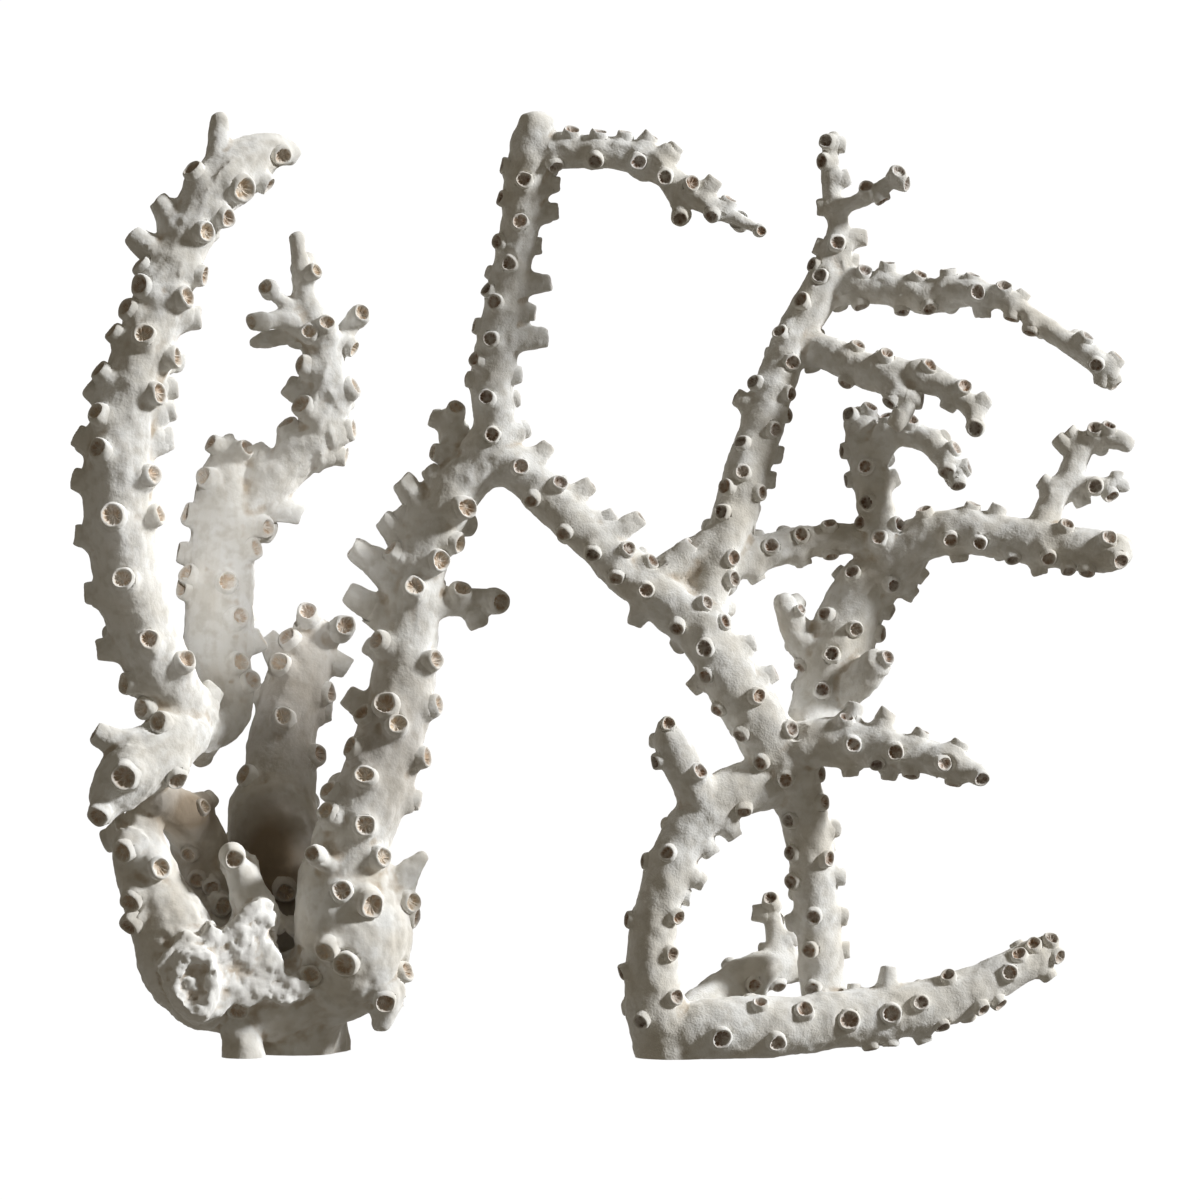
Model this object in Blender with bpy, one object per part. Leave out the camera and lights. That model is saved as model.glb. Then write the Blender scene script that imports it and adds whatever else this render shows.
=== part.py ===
"""A tree-like stony coral colony: a broken base, limbs that fork, and short tubular cups all over them."""

import math

import bmesh
import bpy
from mathutils import Vector, noise

MM = 0.001

# Scale and view: places are read off a grid of pixels laid over a picture taken from the front
PIXEL = 0.35 * MM
BASE_ACROSS = 295
FLOOR_DOWN = 1056
SIGHT_SLOPE = 0.05

# Cups: mouth width and least height over the limb, in metres
WIDE_MOUTH = 8.2 * MM
WIDE_HEIGHT = 3.6 * MM
NARROW_MOUTH = 6.2 * MM
NARROW_HEIGHT = 2.0 * MM

# Cups on the side that isn't seen: how far apart along a limb, then what share of a turn from one to the next, where
# on the back's half turn they may stand, their height and their width against those in front, and the least gap
WIDE_BACK_SPACING = 27 * MM
NARROW_BACK_SPACING = 23 * MM
FIRST_TURN = 0.3
GOLDEN_TURN = 0.618
BACK_FROM = 0.08
BACK_SPAN = 0.84
BACK_RISE = (1.0, 0.5)
BACK_WIDTH = (0.85, 0.2)
LEAST_CUP_GAP = 1.3

# Limbs: spacing of a line's points and of its rings, its rounded tip, and how strongly a thick limb draws cups
FINE_SPACING = 3 * MM
RING_SHARE = 1.35
LEAST_RING_SPACING = 9 * MM
TIP_RISE = 0.7
TIP_SHARE = 0.5
CUP_DRAW = 0.5

# A cup drawn out of a limb's face: how squarely and how near that face must lie, the least rise, the most lean, and
# how far its corners stand from the middle for each unit of its width
LEAST_FACING = 0.45
FARTHEST_FACE = 20 * MM
LEAST_RISE = 1.6 * MM
MOST_LEAN = 1.5 * MM
LEAN_SHARE = 0.5
CORNER_SHARE = 0.62

# Surface and joints
LUMP_SIZE = 16 * MM
LUMP_HEIGHT = 0.7 * MM
WELD = 0.01 * MM
JOINT_GAP = 0.5 * MM
FLAT_ANGLE = math.radians(8)
LEVEL_ANGLE = math.radians(3)

# Spikes of the broken rim: reach over the base, foot and point against their width, and root inside the base
SPIKE_REACH = 0.8
SPIKE_FOOT = 0.7
SPIKE_POINT = 0.12
SPIKE_ROOT = 2 * MM

WHITE_SKELETON = ("white_skeleton", (0.86, 0.84, 0.80, 1.0), 0.85)
BROKEN_SKELETON = ("broken_skeleton", (0.88, 0.87, 0.84, 1.0), 0.95)


class Limb:
    """A limb's routes and its cups' mouths, read off the picture.

    A route's points are (across, down, back in mm, width). A mouth is (across, down) and, where it isn't 1, its size.
    """

    def __init__(self, routes, mouths, wide=False, back_cups=True):
        self.routes = routes
        self.mouths = mouths
        self.mouth = WIDE_MOUTH if wide else NARROW_MOUTH
        self.height = WIDE_HEIGHT if wide else NARROW_HEIGHT
        self.back_spacing = WIDE_BACK_SPACING if wide else NARROW_BACK_SPACING
        self.back_cups = back_cups


# Base: a ridged lobe on the left, a valley, a ridge that ends in a cup, a lobe on the right that overhangs its foot,
# one lobe behind, and the broken ridge over the hollow between them
BASE = Limb(
    routes=[
        [(143, 824, -8, 42), (141, 852, -9, 57), (153, 890, -9, 68), (172, 930, -10, 84), (184, 962, -11, 92),
         (206, 996, -12, 76)],
        [(158, 799, -9, 42), (180, 815, 4, 50), (198, 845, 18, 60), (205, 895, 18, 68), (212, 945, 8, 80),
         (226, 990, 0, 80)],
        [(236, 862, -12, 24), (247, 886, -10, 38), (254, 914, -8, 46), (252, 942, -8, 50)],
        [(345, 880, -2, 100), (352, 926, -4, 122), (350, 960, -4, 112), (308, 1004, 6, 84), (288, 1075, 12, 88)],
        [(270, 812, 40, 90), (274, 850, 36, 98), (280, 930, 30, 104), (285, 1000, 26, 116), (290, 1075, 22, 124)],
        [(205, 985, -8, 84), (262, 1000, -2, 86), (322, 982, 0, 84)],
        [(232, 990, -12, 52), (240, 1030, -12, 38), (246, 1075, -10, 52)],
        [(205, 965, -20, 56), (240, 938, -22, 40), (266, 906, -20, 20)],
        [(385, 908, -2, 50), (400, 884, -4, 34), (412, 868, -6, 24), (422, 857, -6, 15)],
        [(345, 872, -12, 32), (326, 860, -17, 22), (315, 853, -19, 17)],
        [(382, 985, -8, 44), (385, 1006, -10, 34), (382, 1024, -10, 20)],
    ],
    mouths=[
        (123, 851), (163, 866), (235, 858), (196, 879, 0.8), (211, 887, 0.8), (285, 891), (312, 912),
        (374, 903, 1.2), (325, 948), (345, 961, 1.2), (311, 972), (239, 1007), (386, 1002), (205, 805, 0.8),
        (188, 854, 0.8), (313, 852, 0.8), (130, 901), (129, 925), (223, 905), (414, 901), (417, 918), (408, 970),
    ],
    wide=True,
)
BASE_SPIKES = [(180, 935, 26), (212, 914, 22), (277, 941, 20), (312, 984, 18)]

# Left limb: the thickest, bowed out to the left
LEFT_LIMB = Limb(
    routes=[
        [(190, 726, 3, 50), (180, 706, -2, 60), (165, 680, -7, 66), (141, 620, -12, 70),
         (124, 540, -18, 72), (120, 470, -20, 72), (130, 400, -18, 64), (153, 330, -14, 58), (175, 270, -10, 50),
         (198, 215, -4, 52), (233, 172, 2, 58), (267, 150, 8, 40), (290, 154, 12, 24)],
        [(217, 190, -2, 30), (219, 150, 0, 24), (220, 122, 2, 22)],
    ],
    mouths=[
        (192, 167), (247, 189, 1.25), (209, 231), (141, 284), (146, 332), (163, 392), (98, 410), (100, 446),
        (115, 513, 1.2), (125, 576), (150, 637), (188, 657), (142, 707),
        (158, 200), (133, 235), (141, 263), (127, 306), (113, 330), (100, 369), (90, 386), (77, 435), (74, 478),
        (76, 534), (86, 594), (98, 650), (124, 683),
        (270, 185), (230, 217), (207, 275), (190, 296), (203, 318), (180, 357), (178, 388), (177, 410),
        (175, 438), (157, 473), (163, 513), (283, 155, 0.9),
    ],
    wide=True,
)

# Left stub: hangs in front of the base's left lobe
LEFT_STUB = Limb(
    routes=[[(186, 732, -4, 56), (160, 752, -14, 64), (132, 772, -21, 64), (112, 797, -25, 46), (104, 812, -26, 28)]],
    mouths=[(159, 719), (126, 774, 1.25), (179, 779), (100, 815), (96, 731)],
    wide=True,
    back_cups=False,
)

# Middle limb: behind the left one, with a peaked top
MIDDLE_LIMB = Limb(
    routes=[[(196, 727, 7, 40), (212, 727, 16, 44), (224, 714, 22, 52), (220, 680, 25, 62), (216, 640, 27, 70),
             (220, 560, 33, 68), (226, 490, 36, 64),
             (227, 452, 36, 36), (226, 438, 36, 16)]],
    mouths=[
        (208, 441, 0.8), (246, 445, 0.8), (201, 473), (183, 511), (176, 551), (184, 571), (179, 586), (227, 579),
        (256, 546), (240, 614), (240, 660), (252, 678), (261, 638),
    ],
    wide=True,
)

# Middle fork: leaves the middle limb and ends in a finger and small twigs
MIDDLE_FORK = Limb(
    routes=[
        [(232, 530, 34, 44), (262, 492, 34, 46), (292, 458, 34, 46), (318, 430, 34, 46), (325, 380, 33, 42),
         (318, 335, 32, 38), (304, 300, 31, 26), (299, 262, 30, 19), (295, 236, 30, 18)],
        [(315, 340, 32, 28), (290, 320, 28, 22), (262, 321, 24, 17)],
        [(308, 308, 31, 18), (284, 302, 28, 15), (266, 286, 26, 13)],
        [(290, 332, 32, 20), (262, 338, 36, 17), (252, 341, 38, 13)],
        [(322, 350, 33, 28), (342, 334, 36, 22), (358, 313, 38, 17)],
    ],
    mouths=[
        (316, 268, 0.7), (265, 285, 0.75), (250, 320, 0.75), (308, 329, 0.8), (326, 320, 0.8), (361, 310, 0.8),
        (353, 347, 0.8), (298, 362), (284, 383), (355, 384), (299, 402), (353, 427), (284, 421), (251, 444),
        (345, 455), (300, 515), (267, 526),
    ],
    wide=True,
)

# Back limb: short, behind the others
BACK_LIMB = Limb(
    routes=[
        [(276, 850, 40, 78), (275, 815, 41, 80), (278, 760, 45, 72), (288, 700, 48, 64),
         (305, 655, 50, 56), (314, 634, 50, 40)],
        [(312, 645, 50, 26), (306, 614, 48, 18)],
        [(318, 650, 50, 26), (341, 627, 48, 18)],
    ],
    mouths=[
        (306, 610), (344, 624), (284, 635), (262, 638), (276, 661), (346, 670), (330, 693), (330, 712),
        (281, 714), (319, 754), (240, 774), (267, 809),
    ],
    wide=True,
)

# Right limb: rises from the base into the arch
RIGHT_LIMB = Limb(
    routes=[
        [(350, 880, -5, 80), (354, 840, -5, 78), (380, 770, -3, 72), (400, 700, 0, 68), (407, 640, 2, 62),
         (416, 580, 2, 56), (432, 530, 1, 52), (457, 490, 0, 52), (488, 458, 0, 46)],
        [(427, 606, 2, 34), (462, 602, 6, 27), (497, 601, 8, 24)],
        [(464, 480, 2, 30), (457, 450, 8, 34), (452, 415, 12, 25)],
    ],
    mouths=[
        (376, 639), (385, 701, 1.2), (398, 721), (365, 772), (366, 822), (342, 887), (415, 584), (468, 506),
        (401, 479), (401, 506), (382, 518), (352, 547), (390, 548), (347, 592), (371, 609), (346, 695),
        (362, 710), (350, 744), (328, 788), (326, 808), (461, 543), (442, 559), (437, 658), (440, 704),
        (428, 756), (421, 801), (385, 854), (463, 587), (479, 627), (430, 416, 0.8), (456, 405, 0.8),
        (432, 451, 0.8), (427, 468, 0.8), (502, 600),
    ],
    wide=True,
)

# Arch limb: from the right limb's top to the crown of the arch
ARCH_LIMB = Limb(
    routes=[[(499, 470, 0, 44), (495, 430, 0, 43), (492, 380, -3, 42), (501, 320, -6, 40), (514, 260, -8, 38),
             (524, 200, -10, 42), (533, 150, -10, 48), (537, 128, -10, 40)]],
    mouths=[
        (524, 179), (520, 221), (509, 263), (494, 301), (490, 338), (486, 396), (474, 358), (492, 434),
        (502, 165), (500, 198), (497, 242), (486, 288), (474, 325), (466, 378), (560, 185), (558, 212),
        (542, 246), (551, 283), (548, 338, 1.1), (536, 313), (522, 374), (520, 398), (530, 428),
    ],
)

# Top spray: thin and drooping, cut at the top by the picture's edge
TOP_SPRAY = Limb(
    routes=[
        [(530, 150, -10, 38), (582, 152, -14, 34), (632, 158, -18, 31), (667, 178, -22, 26), (702, 203, -25, 22),
         (732, 218, -27, 18), (760, 233, -29, 12)],
        [(670, 190, -22, 18), (682, 218, -24, 15)],
    ],
    mouths=[
        (595, 162), (638, 163), (664, 178), (677, 147), (679, 220), (692, 184), (716, 181), (710, 218),
        (730, 200), (760, 232, 0.7), (600, 132), (626, 133), (652, 136), (572, 130), (556, 168),
    ],
)

# Long limb: falls to the right from the right limb's top
LONG_LIMB = Limb(
    routes=[[(480, 446, 0, 44), (500, 460, 0, 46), (527, 476, -1, 46), (577, 523, -3, 46), (622, 568, -5, 46),
             (662, 598, -6, 52), (707, 630, -8, 56)]],
    mouths=[
        (521, 465), (531, 500), (561, 481), (563, 533), (592, 554), (629, 547), (616, 578), (646, 589),
        (653, 559), (676, 628), (549, 445), (592, 483), (615, 514), (642, 517), (692, 543), (634, 626),
    ],
)

# Long limb's lower stretch, to the fork in the middle of the right half
LONG_LIMB_LOWER = Limb(
    routes=[[(691, 617, -7, 52), (717, 654, -9, 56), (741, 694, -10, 60), (766, 734, -10, 62), (789, 774, -8, 62)]],
    mouths=[
        (707, 601), (703, 647, 1.15), (704, 676), (716, 710), (759, 694), (739, 735), (759, 762), (785, 778),
        (792, 727, 1.15), (726, 620), (755, 642), (776, 672), (822, 773), (680, 571), (829, 755), (690, 690),
    ],
)

# Pillar: below that fork, down to the floor limb
PILLAR = Limb(
    routes=[[(791, 775, -8, 54), (805, 820, -4, 48), (813, 880, 1, 46), (820, 940, 5, 46), (825, 1005, 6, 46)]],
    mouths=[
        (788, 820), (789, 852), (830, 858), (790, 882), (813, 916), (809, 950), (812, 989), (825, 801),
        (840, 828), (846, 878), (848, 917), (850, 951), (786, 925),
    ],
)

# Tall limb: rises from the long limb
TALL_LIMB = Limb(
    routes=[
        [(702, 610, -5, 46), (718, 560, 0, 46), (737, 505, 6, 44), (757, 440, 13, 44), (777, 380, 19, 42),
         (798, 330, 24, 40), (828, 280, 28, 42)],
        [(730, 530, 3, 38), (702, 552, 0, 38), (674, 572, -3, 36)],
    ],
    mouths=[
        (721, 510), (734, 557), (735, 578), (763, 492), (776, 428), (753, 380), (793, 361), (779, 329),
        (817, 334), (801, 297), (792, 392), (736, 395), (740, 440), (790, 414), (783, 455), (776, 480),
        (742, 470), (724, 485),
    ],
)

# Tall limb's tip: thin, with a twig
TALL_LIMB_TIP = Limb(
    routes=[
        [(822, 292, 28, 38), (834, 258, 30, 32), (839, 222, 31, 22), (832, 185, 33, 20), (832, 150, 34, 16),
         (835, 132, 35, 14)],
        [(838, 208, 31, 18), (866, 196, 27, 16), (898, 176, 24, 15)],
    ],
    mouths=[
        (820, 273), (849, 292), (815, 243), (860, 260), (838, 240), (818, 205), (868, 236), (850, 174),
        (822, 159), (846, 143), (826, 138), (900, 169), (908, 182), (812, 262), (866, 184), (884, 200),
    ],
)

# Upper right branch: long and drooping
UPPER_RIGHT_BRANCH = Limb(
    routes=[[(826, 284, 28, 34), (880, 287, 24, 33), (930, 294, 19, 34), (970, 292, 14, 28), (1010, 301, 9, 22),
             (1050, 330, 5, 22), (1090, 356, 1, 24), (1108, 370, 0, 20)]],
    mouths=[
        (889, 261), (921, 272), (949, 268), (974, 273), (977, 291), (1004, 284), (903, 312), (930, 308),
        (983, 317), (1011, 319), (1029, 333), (1088, 335), (1095, 365), (1119, 356), (1116, 386), (1100, 386),
        (866, 268), (862, 306),
    ],
)

# Hanging branch: below the upper right one, forked at its end
HANGING_BRANCH = Limb(
    routes=[
        [(807, 342, 24, 34), (837, 356, 15, 34), (865, 370, 8, 36), (891, 378, 0, 34), (904, 400, -6, 22),
         (906, 412, -8, 16)],
        [(883, 370, 2, 32), (921, 378, -3, 30), (951, 390, -7, 25), (973, 412, -11, 22), (975, 428, -13, 18)],
    ],
    mouths=[
        (860, 343), (887, 352), (930, 364), (964, 385), (988, 398), (922, 401, 1.1), (974, 428), (888, 404),
        (892, 428), (945, 410), (845, 384),
    ],
)

# Upright branch: short, with a side twig
UPRIGHT_BRANCH = Limb(
    routes=[
        [(885, 545, 10, 38), (875, 500, 13, 36), (866, 455, 17, 38), (862, 420, 20, 32)],
        [(867, 462, 16, 32), (896, 436, 11, 27), (926, 440, 5, 27), (945, 458, 0, 24), (956, 474, -3, 20)],
    ],
    mouths=[
        (865, 465), (866, 501), (899, 476), (860, 521), (878, 536), (900, 523), (957, 447), (946, 472),
        (969, 466), (958, 486), (848, 412), (872, 405), (842, 450), (846, 480), (912, 418), (886, 415),
    ],
)

# Link branch: thin, between the tall limb's foot and the high right limb
LINK_BRANCH = Limb(
    routes=[[(712, 572, 0, 40), (745, 558, 5, 38), (790, 546, 10, 31), (840, 538, 12, 29), (885, 545, 12, 34)]],
    mouths=[(771, 544), (801, 533), (832, 557), (758, 582), (805, 566), (830, 522), (691, 545), (756, 530)],
)

# High right limb: rises to the right from the fork
HIGH_RIGHT_LIMB = Limb(
    routes=[
        [(790, 770, -4, 44), (806, 730, 2, 46), (826, 690, 8, 62), (842, 640, 12, 68), (864, 592, 15, 62),
         (905, 552, 12, 54)],
        [(812, 650, 10, 38), (794, 626, 8, 32), (783, 602, 7, 22)],
        [(846, 690, 4, 40), (866, 674, -2, 36), (874, 664, -4, 30)],
    ],
    mouths=[
        (894, 584), (856, 628), (831, 652), (822, 688), (926, 579), (916, 597), (893, 613), (802, 608, 0.7),
        (888, 656), (852, 570), (824, 612), (884, 634), (800, 668),
    ],
)

# High right arm: the level outer stretch of that limb
HIGH_RIGHT_ARM = Limb(
    routes=[[(888, 562, 13, 50), (925, 538, 9, 48), (960, 531, 5, 46), (1000, 536, 1, 44), (1050, 546, -4, 46),
             (1095, 551, -8, 44), (1116, 551, -10, 38)]],
    mouths=[
        (950, 539), (979, 542), (1048, 558), (924, 508), (974, 503), (1012, 560), (1040, 575), (1086, 573),
        (1068, 571), (1119, 560), (1067, 523), (1108, 536), (1000, 506), (960, 562),
    ],
)

# Edge twig: rises from the arm and is cut by the picture's edge
EDGE_TWIG = Limb(
    routes=[
        [(1040, 540, -2, 34), (1052, 505, 2, 28), (1068, 478, 5, 26), (1084, 444, 8, 23), (1108, 438, 7, 21),
         (1127, 444, 5, 19)],
        [(1066, 486, 5, 22), (1098, 486, 3, 17), (1125, 485, 2, 15)],
    ],
    mouths=[(1041, 479), (1057, 436), (1095, 427), (1110, 424), (1094, 486), (1084, 506), (1112, 496), (1068, 430)],
)

# Low right branch: droops to the right
LOW_RIGHT_BRANCH = Limb(
    routes=[[(782, 748, -10, 50), (830, 742, -14, 50), (870, 745, -19, 44), (905, 752, -24, 38), (940, 761, -28, 31),
             (975, 773, -32, 22)]],
    mouths=[
        (856, 703), (852, 743), (894, 750), (876, 764), (943, 762), (888, 710), (887, 780), (909, 776),
        (922, 730), (960, 741), (980, 778), (951, 785), (850, 776), (846, 716),
    ],
)

# Loop limb: curves down to the second foot
LOOP_LIMB = Limb(
    routes=[[(794, 777, -8, 46), (756, 785, -11, 54), (722, 798, -14, 52), (690, 827, -17, 48), (666, 877, -18, 47),
             (652, 936, -17, 50), (654, 996, -14, 60), (668, 1041, -11, 72), (676, 1079, -10, 78)]],
    mouths=[
        (743, 811), (666, 851), (713, 855), (679, 916), (673, 952), (677, 995), (735, 838), (704, 884),
        (690, 898), (626, 918), (620, 972), (642, 860), (640, 1020),
    ],
)

# Loop stub: blunt, on top of the loop
LOOP_STUB = Limb(
    routes=[[(704, 812, -16, 46), (690, 780, -20, 42), (676, 752, -24, 40), (668, 732, -26, 30),
             (666, 724, -26, 18)]],
    mouths=[(654, 761), (700, 769), (668, 722, 0.9)],
)

# Floor limb: long, just over the floor
FLOOR_LIMB = Limb(
    routes=[[(665, 1040, -12, 60), (720, 1030, -13, 66), (790, 1026, -10, 60), (860, 1018, -4, 57),
             (920, 1008, 0, 53), (980, 988, 4, 46), (1030, 962, 8, 36), (1050, 950, 10, 26)]],
    mouths=[
        (721, 1036, 1.3), (777, 1041, 1.2), (804, 1007, 1.2), (849, 1018, 1.3), (891, 1013, 1.3), (921, 1001),
        (943, 1028), (889, 968), (948, 974), (872, 1050), (891, 1047), (925, 1044), (984, 1010), (1010, 972),
        (1019, 953), (1034, 943), (1053, 938), (1061, 957), (1052, 980), (1002, 1005), (760, 1000),
    ],
)

# Rear arm: behind the floor limb, with a thin twig
REAR_ARM = Limb(
    routes=[
        [(690, 1020, -2, 44), (722, 994, 12, 42), (756, 976, 22, 42), (790, 968, 30, 38), (812, 974, 34, 24)],
        [(778, 968, 26, 26), (776, 930, 28, 20), (773, 906, 29, 16)],
    ],
    mouths=[(755, 986), (780, 989), (763, 1007), (753, 915), (771, 899), (798, 940, 0.9)],
)

# In order from the base: each limb is cut where it meets those before it
LIMBS = {
    "base": BASE,
    "left_limb": LEFT_LIMB,
    "left_stub": LEFT_STUB,
    "middle_limb": MIDDLE_LIMB,
    "middle_fork": MIDDLE_FORK,
    "back_limb": BACK_LIMB,
    "right_limb": RIGHT_LIMB,
    "long_limb": LONG_LIMB,
    "arch_limb": ARCH_LIMB,
    "top_spray": TOP_SPRAY,
    "long_limb_lower": LONG_LIMB_LOWER,
    "tall_limb": TALL_LIMB,
    "tall_limb_tip": TALL_LIMB_TIP,
    "upper_right_branch": UPPER_RIGHT_BRANCH,
    "hanging_branch": HANGING_BRANCH,
    "pillar": PILLAR,
    "high_right_limb": HIGH_RIGHT_LIMB,
    "high_right_arm": HIGH_RIGHT_ARM,
    "link_branch": LINK_BRANCH,
    "upright_branch": UPRIGHT_BRANCH,
    "edge_twig": EDGE_TWIG,
    "low_right_branch": LOW_RIGHT_BRANCH,
    "loop_limb": LOOP_LIMB,
    "loop_stub": LOOP_STUB,
    "floor_limb": FLOOR_LIMB,
    "rear_arm": REAR_ARM,
}


def place(across, down, back_mm):
    """A point of the coral from its place in the picture and its depth behind the picture's plane."""
    back = back_mm * MM
    return Vector(((across - BASE_ACROSS) * PIXEL, back, (FLOOR_DOWN - down) * PIXEL - back * SIGHT_SLOPE))


def between(a, b, c, d, share):
    """A Catmull-Rom curve's value between b and c."""
    return 0.5 * (
        2 * b
        + (c - a) * share
        + (2 * a - 5 * b + 4 * c - d) * share**2
        + (3 * b - a - 3 * c + d) * share**3
    )


def smooth_route(route, spacing):
    """Places and radii along a smooth curve through a route's points, about one spacing apart."""
    spots = [(place(across, down, back), width * PIXEL / 2) for across, down, back, width in route]
    padded = [spots[0]] + spots + [spots[-1]]
    line = []
    for a, b, c, d in zip(padded, padded[1:], padded[2:], padded[3:]):
        count = max(1, round((c[0] - b[0]).length / spacing))
        for i in range(count):
            share = i / count
            line.append((between(a[0], b[0], c[0], d[0], share), between(a[1], b[1], c[1], d[1], share)))
    return line + [spots[-1]]


LINES = {name: [smooth_route(route, FINE_SPACING) for route in limb.routes] for name, limb in LIMBS.items()}


def nearest(lines, mouth_across, mouth_down):
    """Where a mouth seen at this pixel lies at the limb's depth, and the limb's place and radius there."""
    best = None
    for line in lines:
        for spot, radius in line:
            seen = place(mouth_across, mouth_down, spot.y / MM)
            distance = (seen - spot).length - CUP_DRAW * radius
            if best is None or distance < best[0]:
                best = (distance, seen, spot, radius)
    return best[1:]


def buried(point, owner):
    """Whether a point lies inside a limb other than its owner."""
    return any(
        (point - spot).length < radius
        for name, lines in LINES.items()
        if name != owner
        for line in lines
        for spot, radius in line
    )


def front_cups(name):
    """The cups that the picture shows: where each starts, where its mouth is, and its mouth's width."""
    limb = LIMBS[name]
    cups = []
    for across, down, *size in limb.mouths:
        seen, spot, radius = nearest(LINES[name], across, down)
        aside = seen - spot
        aside.y = 0
        reach = max(radius + limb.height, aside.length)
        mouth = spot + aside + Vector((0, -math.sqrt(reach**2 - aside.length**2), 0))
        if not buried(mouth, name):
            cups.append((spot, mouth, limb.mouth * (size[0] if size else 1)))
    return cups


def back_cups(name, taken):
    """Cups on the side that the picture doesn't show, spread by turns of the golden ratio."""
    limb = LIMBS[name]
    cups = []
    turn = FIRST_TURN
    for line in LINES[name]:
        walked = 0.5 * limb.back_spacing
        for (spot, radius), (ahead, _) in zip(line, line[1:]):
            along = ahead - spot
            walked += along.length
            if walked < limb.back_spacing:
                continue
            walked -= limb.back_spacing
            turn = (turn + GOLDEN_TURN) % 1
            angle = math.pi * (BACK_FROM + BACK_SPAN * turn)
            aside = along.cross(Vector((0, 1, 0))).normalized()
            away = aside * math.cos(angle) + aside.cross(along).normalized() * math.sin(angle)
            if away.y < 0:
                away.y = -away.y
            mouth = spot + away * (radius + limb.height * (BACK_RISE[0] + BACK_RISE[1] * turn))
            clear = all((mouth - other).length > LEAST_CUP_GAP * limb.mouth for _, other, _ in taken + cups)
            if clear and mouth.z > limb.mouth and not buried(mouth, name):
                cups.append((spot, mouth, limb.mouth * (BACK_WIDTH[0] + BACK_WIDTH[1] * turn)))
    return cups


def lumpy(builder):
    """Swells and sinks a mesh's points a little, in soft lumps."""
    builder.normal_update()
    moves = [v.normal * LUMP_HEIGHT * noise.noise(v.co / LUMP_SIZE) for v in builder.verts]
    for v, move in zip(builder.verts, moves):
        v.co += move


def rings_of(line):
    """The places and radii of a tube's rings: closer together where it is thin, with a rounded tip."""
    rings = [line[0]]
    walked = 0.0
    for (before, _), (spot, radius) in zip(line, line[1:]):
        walked += (spot - before).length
        if walked > max(RING_SHARE * radius, LEAST_RING_SPACING):
            rings.append((spot, radius))
            walked = 0.0
    end, radius = line[-1]
    rings[-1] = line[-1]
    direction = (end - line[-3][0]).normalized()
    rings.append((end + direction * TIP_RISE * radius, TIP_SHARE * radius))
    return rings


def tube_mesh(line, sides):
    """A closed tube along a line of places and radii."""
    rings = rings_of(line)
    data = bpy.data.curves.new("tube", "CURVE")
    data.dimensions = "3D"
    data.bevel_depth = 1.0
    data.bevel_resolution = (sides - 4) // 2
    data.use_fill_caps = True
    spline = data.splines.new("POLY")
    spline.points.add(len(rings) - 1)
    for point, (spot, radius) in zip(spline.points, rings):
        point.co = (*spot, 1)
        point.radius = radius
    guide = bpy.data.objects.new("tube", data)
    bpy.context.scene.collection.objects.link(guide)
    mesh = bpy.data.meshes.new_from_object(guide.evaluated_get(bpy.context.evaluated_depsgraph_get()))
    bpy.data.objects.remove(guide)
    builder = bmesh.new()
    builder.from_mesh(mesh)
    bpy.data.meshes.remove(mesh)
    bmesh.ops.remove_doubles(builder, verts=builder.verts, dist=WELD)
    bmesh.ops.recalc_face_normals(builder, faces=builder.faces)
    return builder


def extrude_cups(builder, cups):
    """Draws each cup out of the limb's face that lies under its mouth."""
    builder.normal_update()
    free = [face for face in builder.faces if len(face.verts) == 4]
    chosen = []
    for spot, mouth, width in cups:
        direction = (mouth - spot).normalized()
        facing = [face for face in free if face.normal.dot(direction) > LEAST_FACING]
        if not facing:
            continue
        under = min(facing, key=lambda face: (mouth - face.calc_center_median()).cross(direction).length)
        if (mouth - under.calc_center_median()).length > FARTHEST_FACE:
            continue
        free.remove(under)
        chosen.append((under, mouth, width))
    for under, mouth, width in chosen:
        foot = under.calc_center_median()
        up = under.normal.copy()
        rise = max((mouth - foot).dot(up), LEAST_RISE)
        lean = mouth - foot - up * (mouth - foot).dot(up)
        lean *= min(1.0, (MOST_LEAN + LEAN_SHARE * rise) / max(lean.length, MOST_LEAN))
        stub = bmesh.ops.extrude_discrete_faces(builder, faces=[under])["faces"][0]
        corner = max((v.co - foot).length for v in stub.verts)
        top = foot + up * rise + lean
        for v in stub.verts:
            v.co = top + (v.co - foot) * min(1.0, CORNER_SHARE * width / corner)


def add_spike(builder, across, down, width):
    """Adds a jagged spike of the base's broken rim."""
    _, spot, radius = nearest(LINES["base"], across, down)
    tip = place(across, down, spot.y / MM)
    tip.y -= SPIKE_REACH * radius
    direction = tip - spot
    turn = direction.to_track_quat("Z", "Y").to_matrix().to_4x4()
    turn.translation = spot + direction / 2
    bmesh.ops.create_cone(
        builder,
        cap_ends=True,
        segments=4,
        radius1=SPIKE_FOOT * width * PIXEL,
        radius2=SPIKE_POINT * width * PIXEL,
        depth=direction.length + SPIKE_ROOT,
        matrix=turn,
    )


def as_object(builder, name):
    """A new object with a mesh builder's shape."""
    mesh = bpy.data.meshes.new(name)
    builder.to_mesh(mesh)
    builder.free()
    thing = bpy.data.objects.new(name, mesh)
    bpy.context.scene.collection.objects.link(thing)
    return thing


def is_closed(mesh):
    """Whether every edge has two faces."""
    builder = bmesh.new()
    builder.from_mesh(mesh)
    closed = len(builder.faces) > 0 and all(edge.is_manifold for edge in builder.edges)
    builder.free()
    return closed


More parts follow.
